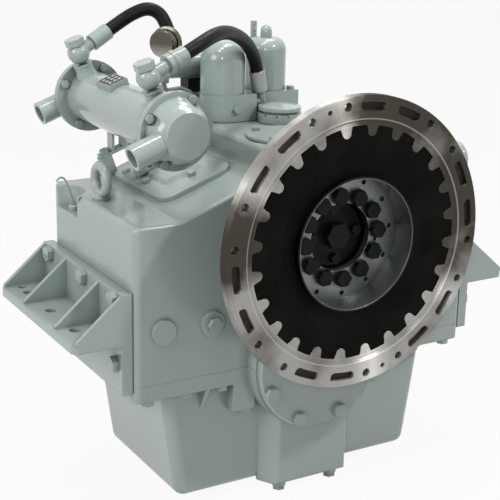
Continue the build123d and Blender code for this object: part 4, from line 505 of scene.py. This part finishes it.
def turned_steel(name, colour, stain_and_shade, roughness, anisotropy, mark, darkening=0.0, cast_pockets=False,
                 black_from=no_radius, painted_step_highlight=0.0):
    """Lathe-turned steel, whose grain runs round the input axis. stain_and_shade is the colour of its clouds
    of stain, and darkening is how much more of that colour lies on the upper right and in a narrow streak
    on the left, as painted shade. Beyond the radius black_from the steel is left black, and
    painted_step_highlight is the strength of a painted highlight on the step's edge."""
    material, tree, output = new_material(name)
    where = shade(tree, "TexCoord").outputs["Object"]
    flat = vectors(tree, "MULTIPLY", where, (1.0, 0.0, 1.0))[0]
    radius = vectors(tree, "LENGTH", flat)["Value"]
    depth = shade(tree, "SeparateXYZ", {0: where}).outputs["Y"]
    line = shade(tree, "CombineXYZ", {0: radius, 1: depth}).outputs[0]
    marks = noise(tree, 900.0, 3.0, roughness=0.7, where=line)
    around = vectors(tree, "CROSS_PRODUCT", flat, (0.0, 1.0, 0.0))[0]
    grooves = shade(tree, "VectorTransform", {0: around}, vector_type="VECTOR", convert_from="OBJECT",
                    convert_to="WORLD").outputs[0]
    facing = shade(tree, "NewGeometry").outputs["Normal"]

    # Clouds of stain, painted shade on two sides of the ring, and stain in each groove
    way = vectors(tree, "NORMALIZE", flat)[0]
    upper = ramp(tree, vectors(tree, "DOT_PRODUCT", way, painted_shade_side)["Value"], *painted_shade_reach, 0.0, darkening)
    narrow = ramp(tree, vectors(tree, "DOT_PRODUCT", way, painted_streak_side)["Value"], *painted_streak_reach, 0.0, darkening)
    shade_and_cloud = reckon(tree, "ADD", reckon(tree, "ADD", upper, noise(tree, 11.0, 4.0)), narrow)
    clouded_and_shaded = mix(tree, ramp(tree, shade_and_cloud, 0.45, 0.80, 0.0, 1.0), colour, stain_and_shade)
    base = mix(tree, ramp(tree, marks, 0.35, 0.65, 0.0, 0.35), clouded_and_shaded, stain_and_shade)

    # Painted shade in the corners, but none on the walls of the holes near their mouths
    painted_corner_shade = ramp(tree, openness(tree, 0.02), 0.2, 0.8, 0.8, 0.0)
    flatness = reckon(tree, "ABSOLUTE", vectors(tree, "DOT_PRODUCT", facing, (0.0, 1.0, 0.0))["Value"])
    wall = ramp(tree, flatness, 0.2, 0.7, 1.0, 0.0)
    unshaded_mouth = reckon(tree, "MULTIPLY", wall, ramp(tree, depth, *hole_mouth, 0.85, 0.0))
    shade_share = reckon(tree, "SUBTRACT", painted_corner_shade, unshaded_mouth, clamped=True)
    corner_shaded = mix(tree, shade_share, base, (0.035, 0.032, 0.028, 1.0))

    # The painted highlight on the step's edge, and the black rim
    off_step = reckon(tree, "ABSOLUTE", reckon(tree, "SUBTRACT", radius, step_radius))
    step_highlighted = mix(tree, ramp(tree, off_step, *step_highlight_reach, painted_step_highlight, 0.0), corner_shaded, (0.80, 0.79, 0.77, 1.0))
    rim = reckon(tree, "GREATER_THAN", radius, black_from)
    metal = shade(tree, "BsdfPrincipled", {
        "Base Color": mix(tree, rim, step_highlighted, (0.016, 0.017, 0.015, 1.0)), "Metallic": 1.0,
        "Roughness": ramp(tree, marks, 0.3, 0.7, roughness - 0.05, roughness + 0.06),
        "Anisotropic": anisotropy, "Tangent": vectors(tree, "CROSS_PRODUCT", facing, grooves)[0],
        "Normal": relief(tree, marks, mark, 0.6, under=rounded(tree, 0.0011))})
    if not cast_pockets:
        tree.links.new(metal.outputs[0], output.inputs[0])
        return material

    # The rough cast floor of the slots: as-cast iron, darkened further with painted shade of the pocket
    cast_floor_and_shade = mix(tree, noise(tree, 45.0, 3.0), (0.012, 0.010, 0.008, 1.0), (0.11, 0.093, 0.078, 1.0))
    rugged = relief(tree, noise(tree, 170.0, 4.0, roughness=0.7), 0.0012, 0.9)
    raw = shade(tree, "BsdfPrincipled", {"Base Color": cast_floor_and_shade, "Roughness": 0.75, "Specular IOR Level": 0.2,
                                         "Normal": rugged})
    deep = reckon(tree, "MULTIPLY", reckon(tree, "GREATER_THAN", depth, slot_floor_front),
                  reckon(tree, "LESS_THAN", depth, slot_floor_back))
    band = reckon(tree, "MULTIPLY", reckon(tree, "GREATER_THAN", radius, ring_slot_inner),
                  reckon(tree, "LESS_THAN", radius, ring_slot_outer))
    pocket = reckon(tree, "MULTIPLY", deep, band)
    both = shade(tree, "MixShader", {0: pocket, 1: metal.outputs[0], 2: raw.outputs[0]})
    tree.links.new(both.outputs[0], output.inputs[0])
    return material


bright_steel = turned_steel("bright_turned_steel", (0.50, 0.49, 0.465, 1.0), (0.078, 0.068, 0.057, 1.0),
                            roughness=0.42, anisotropy=1.0, mark=0.00004, darkening=0.35, cast_pockets=True,
                            painted_step_highlight=0.4)
grey_steel = turned_steel("grey_turned_steel", (0.24, 0.255, 0.255, 1.0), (0.16, 0.17, 0.17, 1.0),
                          roughness=0.34, anisotropy=0.6, mark=0.00008, black_from=cup_black_radius)
dark_steel = turned_steel("dark_oiled_steel", (0.014, 0.0145, 0.013, 1.0), (0.007, 0.0075, 0.006, 1.0),
                          roughness=0.42, anisotropy=0.3, mark=0.00008)
flange_steel = turned_steel("flange_steel", (0.30, 0.30, 0.29, 1.0), (0.22, 0.22, 0.21, 1.0),
                            roughness=0.32, anisotropy=0.5, mark=0.00008)
skin("drive_ring", bright_steel, about=input_centre)
skin("coupling_cup", grey_steel, about=input_centre)
skin("input_hub", dark_steel, about=input_centre)
skin("shaft_retainer", dark_steel, about=input_centre)
skin("output_flange", flange_steel, about=output_centre)

# Bolts of the hub
# Hexagon bolts of hard steel, blacked in hot oxide and oily: twelve round the cup's floor hold it to
# the hub, and five hold the retaining plate on the shaft's end.
black_oxide, tree, output = new_material("black_oxide_steel")
smear = noise(tree, 120.0, 3.0)
colour = mix(tree, smear, (0.002, 0.002, 0.002, 1.0), (0.009, 0.0095, 0.0085, 1.0))
coat(tree, output, {"Base Color": colour, "Roughness": ramp(tree, smear, 0.0, 1.0, 0.3, 0.5),
                    "Specular IOR Level": 0.12, "Normal": rounded(tree, 0.0009)})
skin("hub_bolts", black_oxide)

# Rubber disc
# A thick disc of black natural rubber, moulded with a notch for each lobe of the ring, so that it
# takes up the engine's shocks. It has a faint grey bloom.
rubber, tree, output = new_material("black_rubber")
bloom = noise(tree, 14.0, 5.0)
grey = ramp(tree, bloom, 0.45, 0.75, 0.0, 1.0)
colour = mix(tree, grey, (0.0035, 0.0036, 0.0032, 1.0), (0.009, 0.0095, 0.0085, 1.0))
coat(tree, output, {"Base Color": colour, "Specular IOR Level": 0.04,
                    "Roughness": ramp(tree, bloom, 0.0, 1.0, 0.45, 0.7),
                    "Normal": relief(tree, noise(tree, 700.0, 2.0), 0.0002, 0.5)})
skin("rubber_disc", rubber, about=input_centre)

# Oil hoses
# Two short lengths of black reinforced hose, 23 mm across, pushed into crimped steel cuffs. Each one
# rises from its union on the cooler and bends over to the valves on the crown.
hose_width = 0.023
front_rise = 0.0282
rear_rise = 0.028
front_drop = 0.022
rear_drop = 0.023
front_start = Vector((-0.194, 0.206, 0.2767))
rear_start = Vector((-0.2044, 0.471, 0.2791))
front_ball = Vector((-0.2604, 0.198, 0.246))
rear_ball = Vector((-0.2604, 0.466, 0.246))
front_arm = (front_start - front_ball).normalized()
rear_arm = (rear_start - rear_ball).normalized()
elbow_centre = Vector((0.033, 0.354, 0.160))
elbow_end = Vector((0.0192, 0.3484, 0.2158))
elbow_line = (elbow_end - elbow_centre).normalized()
rear_end = Vector((-0.100, 0.4315, 0.245))
rear_line = Vector((0.004, -0.0025, -0.023)).normalized()
front_route = [front_start, front_start + front_arm * front_rise, Vector((-0.1358, 0.226, 0.2987)),
               Vector((-0.1006, 0.252, 0.3002)), Vector((-0.0617, 0.284, 0.2906)),
               Vector((-0.0194, 0.317, 0.2701)), elbow_end + elbow_line * front_drop, elbow_end]
rear_route = [rear_start, rear_start + rear_arm * rear_rise, Vector((-0.158, 0.466, 0.308)),
              Vector((-0.136, 0.456, 0.317)), Vector((-0.118, 0.447, 0.309)),
              Vector((-0.1095, 0.439, 0.290)), rear_end - rear_line * rear_drop, rear_end]

hose_rubber, tree, output = new_material("black_hose_rubber")
dust = ramp(tree, noise(tree, 30.0, 4.0), 0.4, 0.8, 0.0, 1.0)
coat(tree, output, {"Base Color": mix(tree, dust, (0.0035, 0.0035, 0.0032, 1.0), (0.010, 0.010, 0.009, 1.0)),
                    "Roughness": 0.4, "Specular IOR Level": 0.14,
                    "Normal": relief(tree, noise(tree, 900.0, 2.0), 0.0003, 0.5)})


def hose(name, node_name, route):
    """A hose as a smooth line through its route's control points, as thick as the real one."""
    curve = bpy.data.curves.new(name, "CURVE")
    curve.dimensions = "3D"
    curve.bevel_depth = hose_width / 2
    curve.bevel_resolution = 8
    curve.use_fill_caps = True
    line = curve.splines.new("NURBS")
    line.points.add(len(route) - 1)
    for point, place in zip(line.points, route):
        point.co = (*place, 1.0)
    line.order_u = 3
    line.use_endpoint_u = True
    line.resolution_u = 12
    piece = show(name, curve, hose_rubber)
    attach(piece, "case")
    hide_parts(node_name)


hose("front_oil_hose", "front_hose", front_route)
hose("rear_oil_hose", "rear_hose", rear_route)

# Brass sleeves in the hose cuffs
# A thin sleeve of drawn brass, gone dull, lines the lower cuff of each hose. Its rolled lip shows where
# the hose goes in.
lip_radius = hose_width / 2 + 0.0008
lip_thickness = 0.0012
lip_rise = 0.0002
brass, tree, output = new_material("dull_brass")
colour = mix(tree, noise(tree, 200.0, 4.0), (0.36, 0.24, 0.10, 1.0), (0.16, 0.11, 0.06, 1.0))
coat(tree, output, {"Base Color": colour, "Metallic": 1.0, "Roughness": 0.35})


def lip(name, centre, line):
    """A rolled lip: a circle of lip_thickness carried round a circle of lip_radius about a line."""
    line = np.array(line)
    across = np.cross(line, (0.0, 1.0, 0.0))
    across = across / np.linalg.norm(across)
    up = np.cross(line, across)
    turn = np.radians(np.arange(0, 360, 7.5))[:, None, None]
    bead = np.radians(np.arange(0, 360, 30))[None, :, None]
    spoke = np.cos(turn) * across + np.sin(turn) * up
    rim = (np.array(centre) + spoke * (lip_radius + lip_thickness * np.cos(bead))
           + line * lip_thickness * np.sin(bead))
    surface(name, rim, brass, wrap_u=True, wrap_v=True)


lip("front_hose_sleeve", elbow_end - elbow_line * lip_rise, elbow_line)
lip("rear_hose_sleeve", rear_end + rear_line * lip_rise, rear_line)

# Pressure gauge
# A stainless case with a rolled bezel, darker towards its top, a white dial with printed marks
# and a black needle under glass, and a thin painted pipe down to the valve.
gauge_back = np.array([-0.148, 0.380, 0.266])
gauge_line = np.array([0.8, 0.6, 0.02]) / np.linalg.norm((0.8, 0.6, 0.02))
gauge_across = np.cross((0.0, 0.0, 1.0), gauge_line)
gauge_across = gauge_across / np.linalg.norm(gauge_across)
gauge_up = np.cross(gauge_line, gauge_across)
darker_top_heights = (0.246, 0.266)
dial_radius = 0.0213
dial_depth = 0.0201
dial_thickness = 0.00008
glass_back = 0.0215
glass_front = 0.0230
mark_count = 31
mark_middle = 0.0185
mark_outer = 0.0193
needle_turn = math.radians(150)
needle_depth = dial_depth + 0.0006
needle_tail = -0.006
needle_tip = 0.0165

stainless, tree, output = new_material("polished_stainless")
height = shade(tree, "SeparateXYZ", {0: shade(tree, "TexCoord").outputs["Object"]}).outputs["Z"]
# The case's colour goes darker towards its top
darkening = ramp(tree, height, *darker_top_heights, 0.0, 1.0)
coat(tree, output, {"Base Color": mix(tree, darkening, (0.36, 0.35, 0.32, 1.0), (0.105, 0.099, 0.078, 1.0)),
                    "Metallic": 1.0, "Roughness": ramp(tree, noise(tree, 300.0, 3.0), 0.0, 1.0, 0.12, 0.26),
                    "Normal": rounded(tree, 0.0006)})
skin("gauge_case", stainless)
skin("gauge_pipe", part_enamel)


def on_gauge(radius, turn, depth):
    """A point of the gauge: its back, plus depth along its line, plus radius towards a turn round that."""
    spoke = np.cos(turn)[..., None] * gauge_across + np.sin(turn)[..., None] * gauge_up
    return gauge_back + depth[..., None] * gauge_line + radius[..., None] * spoke


def gauge_disc(name, near, far, material):
    """A flat disc of the gauge: the outline of half its section, between two depths, carried round."""
    radius = np.array([0.0, dial_radius, dial_radius, 0.0])[:, None]
    depth = np.array([near, near, far, far])[:, None]
    turn = np.radians(np.arange(0, 360, 5.0))[None, :]
    return surface(name, on_gauge(radius, turn, depth), material, wrap_v=True)


dial_white, tree, output = new_material("white_dial_enamel")
colour = mix(tree, noise(tree, 400.0, 2.0), (0.72, 0.72, 0.70, 1.0), (0.80, 0.80, 0.78, 1.0))
coat(tree, output, {"Base Color": colour, "Roughness": 0.4})
gauge_disc("gauge_dial", dial_depth, dial_depth - dial_thickness, dial_white)

# Every fifth mark of the scale is longer and wider
long_mark = np.arange(mark_count) % 5 == 0
mark_half_width = np.where(long_mark, 0.00032, 0.00016)
mark_inner = np.where(long_mark, 0.0158, 0.0174)
for number, turn in enumerate(np.radians(np.linspace(225, -45, mark_count))):
    half_turn = mark_half_width[number] / mark_middle
    corner_turn = turn + half_turn * np.array([[-1.0, 1.0], [-1.0, 1.0]])
    corner_radius = np.array([[mark_inner[number]] * 2, [mark_outer] * 2])
    corners = on_gauge(corner_radius, corner_turn, np.full((2, 2), dial_depth + spot_proud))
    surface("gauge_mark_%02d" % number, corners, print_black_and_hole_shade)

# The needle's half width at its tail, on both sides of its boss, at its boss and at its tip
needle_reach = np.linspace(needle_tail, needle_tip, 12)
needle_half = np.interp(needle_reach, [needle_tail, -0.002, 0.0, 0.002, needle_tip],
                        [0.0011, 0.0008, 0.0016, 0.0008, 0.00015])
needle_side = np.array([-1.0, 0.0, 1.0])
needle_along = math.cos(needle_turn) * gauge_across + math.sin(needle_turn) * gauge_up
needle_over = -math.sin(needle_turn) * gauge_across + math.cos(needle_turn) * gauge_up
needle = (gauge_back + gauge_line * needle_depth + needle_reach[:, None, None] * needle_along
          + (needle_half[:, None] * needle_side)[..., None] * needle_over)
surface("gauge_needle", needle, print_black_and_hole_shade)

glass, tree, output = new_material("gauge_glass")
coat(tree, output, {"Base Color": (1.0, 1.0, 1.0, 1.0), "IOR": 1.45, "Transmission Weight": 1.0,
                    "Roughness": ramp(tree, noise(tree, 60.0, 3.0), 0.0, 1.0, 0.01, 0.06)})
pane = gauge_disc("gauge_pane", glass_back, glass_front, glass)
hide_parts("gauge_glass")

# Vent of the gauge case
# A dark rubber plug, pushed into a drilled hole on top of the case. It blows out if the gauge bursts
# inside. It is laid on the case's curve.
gauge_radius = 0.023
vent_turn = math.radians(112)
vent_depth = 0.0062
vent_plug_radius = 0.0024
plug_spread = np.linspace(0, vent_plug_radius, 3)[:, None]
plug_turn = np.radians(np.arange(0, 360, 20))[None, :]
plug_side = plug_spread * np.cos(plug_turn) / gauge_radius
plug_depth = vent_depth + plug_spread * np.sin(plug_turn)
plug = on_gauge(np.full(plug_side.shape, gauge_radius + spot_proud), vent_turn + plug_side, plug_depth)
surface("gauge_vent", plug, print_black_and_hole_shade, wrap_v=True)

# Coil and dipstick
# A coil moulded in black plastic hangs under the rear valve. The dipstick, with its cap and handle, is
# painted with the case.
coil_plastic, tree, output = new_material("moulded_black_coil")
mould = noise(tree, 500.0, 2.0)
coat(tree, output, {"Base Color": (0.008, 0.009, 0.009, 1.0), "Specular IOR Level": 0.2,
                    "Roughness": ramp(tree, mould, 0.0, 1.0, 0.35, 0.6),
                    "Normal": relief(tree, mould, 0.0002, 0.5)})
skin("valve_coil", coil_plastic)
skin("dipstick", part_enamel)

# Rating plate on the cooler
# A thin black plate with a pale border, a pale rule and rows of blank pale cells, held by four rivets
# on a painted saddle.
plate_length = 0.046
plate_width = 0.031
plate_thickness = 0.0006
saddle_top = 0.052
cooler_middle = np.array([-0.232, 0.357, 0.168])
cooler_lean = math.radians(20.0)
plate_up = np.array([-math.sin(cooler_lean), 0.0, math.cos(cooler_lean)])
plate_across = np.array([math.cos(cooler_lean), 0.0, math.sin(cooler_lean)])
plate_along = np.array([0.0, 1.0, 0.0])
plate_middle = cooler_middle + saddle_top * plate_up
border_start = 0.0006
border_end = 0.0012
cell_places = [(along, across) for along in (-0.011, 0.001, 0.013) for across in (-0.008, 0.0015, 0.0095)]
cell_half_length = 0.0032
cell_half_width = 0.0026
rule_place = -0.017
rule_half_width = 0.0005
rule_half_length = 0.011
rivet_inset = 0.0024
rivet_radius = 0.0012
rivet_height = 0.0007

plate_print, tree, output = new_material("printed_plate")
scratch = noise(tree, 700.0, 3.0)
black = mix(tree, scratch, (0.010, 0.011, 0.011, 1.0), (0.030, 0.031, 0.031, 1.0))
pale = mix(tree, scratch, (0.42, 0.43, 0.42, 1.0), (0.62, 0.63, 0.62, 1.0))
mark = shade(tree, "Attribute", attribute_name="print").outputs["Fac"]
coat(tree, output, {"Base Color": mix(tree, mark, black, pale), "Roughness": 0.38, "Specular IOR Level": 0.3})
skin("plate_saddle", part_enamel)

# The plate's top is a grid of half-millimetre cells; the rows and columns past its edge are its thin sides
u, v = np.meshgrid(np.linspace(-1, 1, 93), np.linspace(-1, 1, 63), indexing="ij")
top = (plate_middle + plate_thickness * plate_up + (u * plate_length / 2)[..., None] * plate_along
       + (v * plate_width / 2)[..., None] * plate_across)
foot = np.pad(top, ((1, 1), (1, 1), (0, 0)), mode="edge")
foot[[0, -1], :] -= plate_thickness * plate_up
foot[1:-1, [0, -1]] -= plate_thickness * plate_up
plate = surface("rating_plate", foot, plate_print)
places = np.empty(len(plate.data.polygons) * 3)
plate.data.polygons.foreach_get("center", places)
spot = places.reshape(-1, 3) - plate_middle
spot_u = spot @ plate_along
spot_v = spot @ plate_across
edge_gap = np.minimum(plate_length / 2 - np.abs(spot_u), plate_width / 2 - np.abs(spot_v))
printed = (edge_gap > border_start) & (edge_gap < border_end)
printed |= (np.abs(spot_u - rule_place) < rule_half_width) & (np.abs(spot_v) < rule_half_length)
for cell_u, cell_v in cell_places:
    printed |= (np.abs(spot_u - cell_u) < cell_half_length) & (np.abs(spot_v - cell_v) < cell_half_width)
printed_marks = plate.data.attributes.new("print", "FLOAT", "FACE")
printed_marks.data.foreach_set("value", printed.astype(np.float32))

# Each rivet's head is half an ellipse turned round the rivet
rise = np.linspace(0, math.pi / 2, 5)[:, None, None]
turn = np.radians(np.arange(0, 360, 24))[None, :, None]
for number, (side_u, side_v) in enumerate(((-1, -1), (1, -1), (1, 1), (-1, 1))):
    head = (plate_middle + side_u * (plate_length / 2 - rivet_inset) * plate_along
            + side_v * (plate_width / 2 - rivet_inset) * plate_across + plate_thickness * plate_up)
    spoke = np.cos(turn) * plate_along + np.sin(turn) * plate_across
    dome = head + rivet_radius * np.cos(rise) * spoke + rivet_height * np.sin(rise) * plate_up
    surface("plate_rivet_%d" % (number + 1), dome, stainless, wrap_v=True)
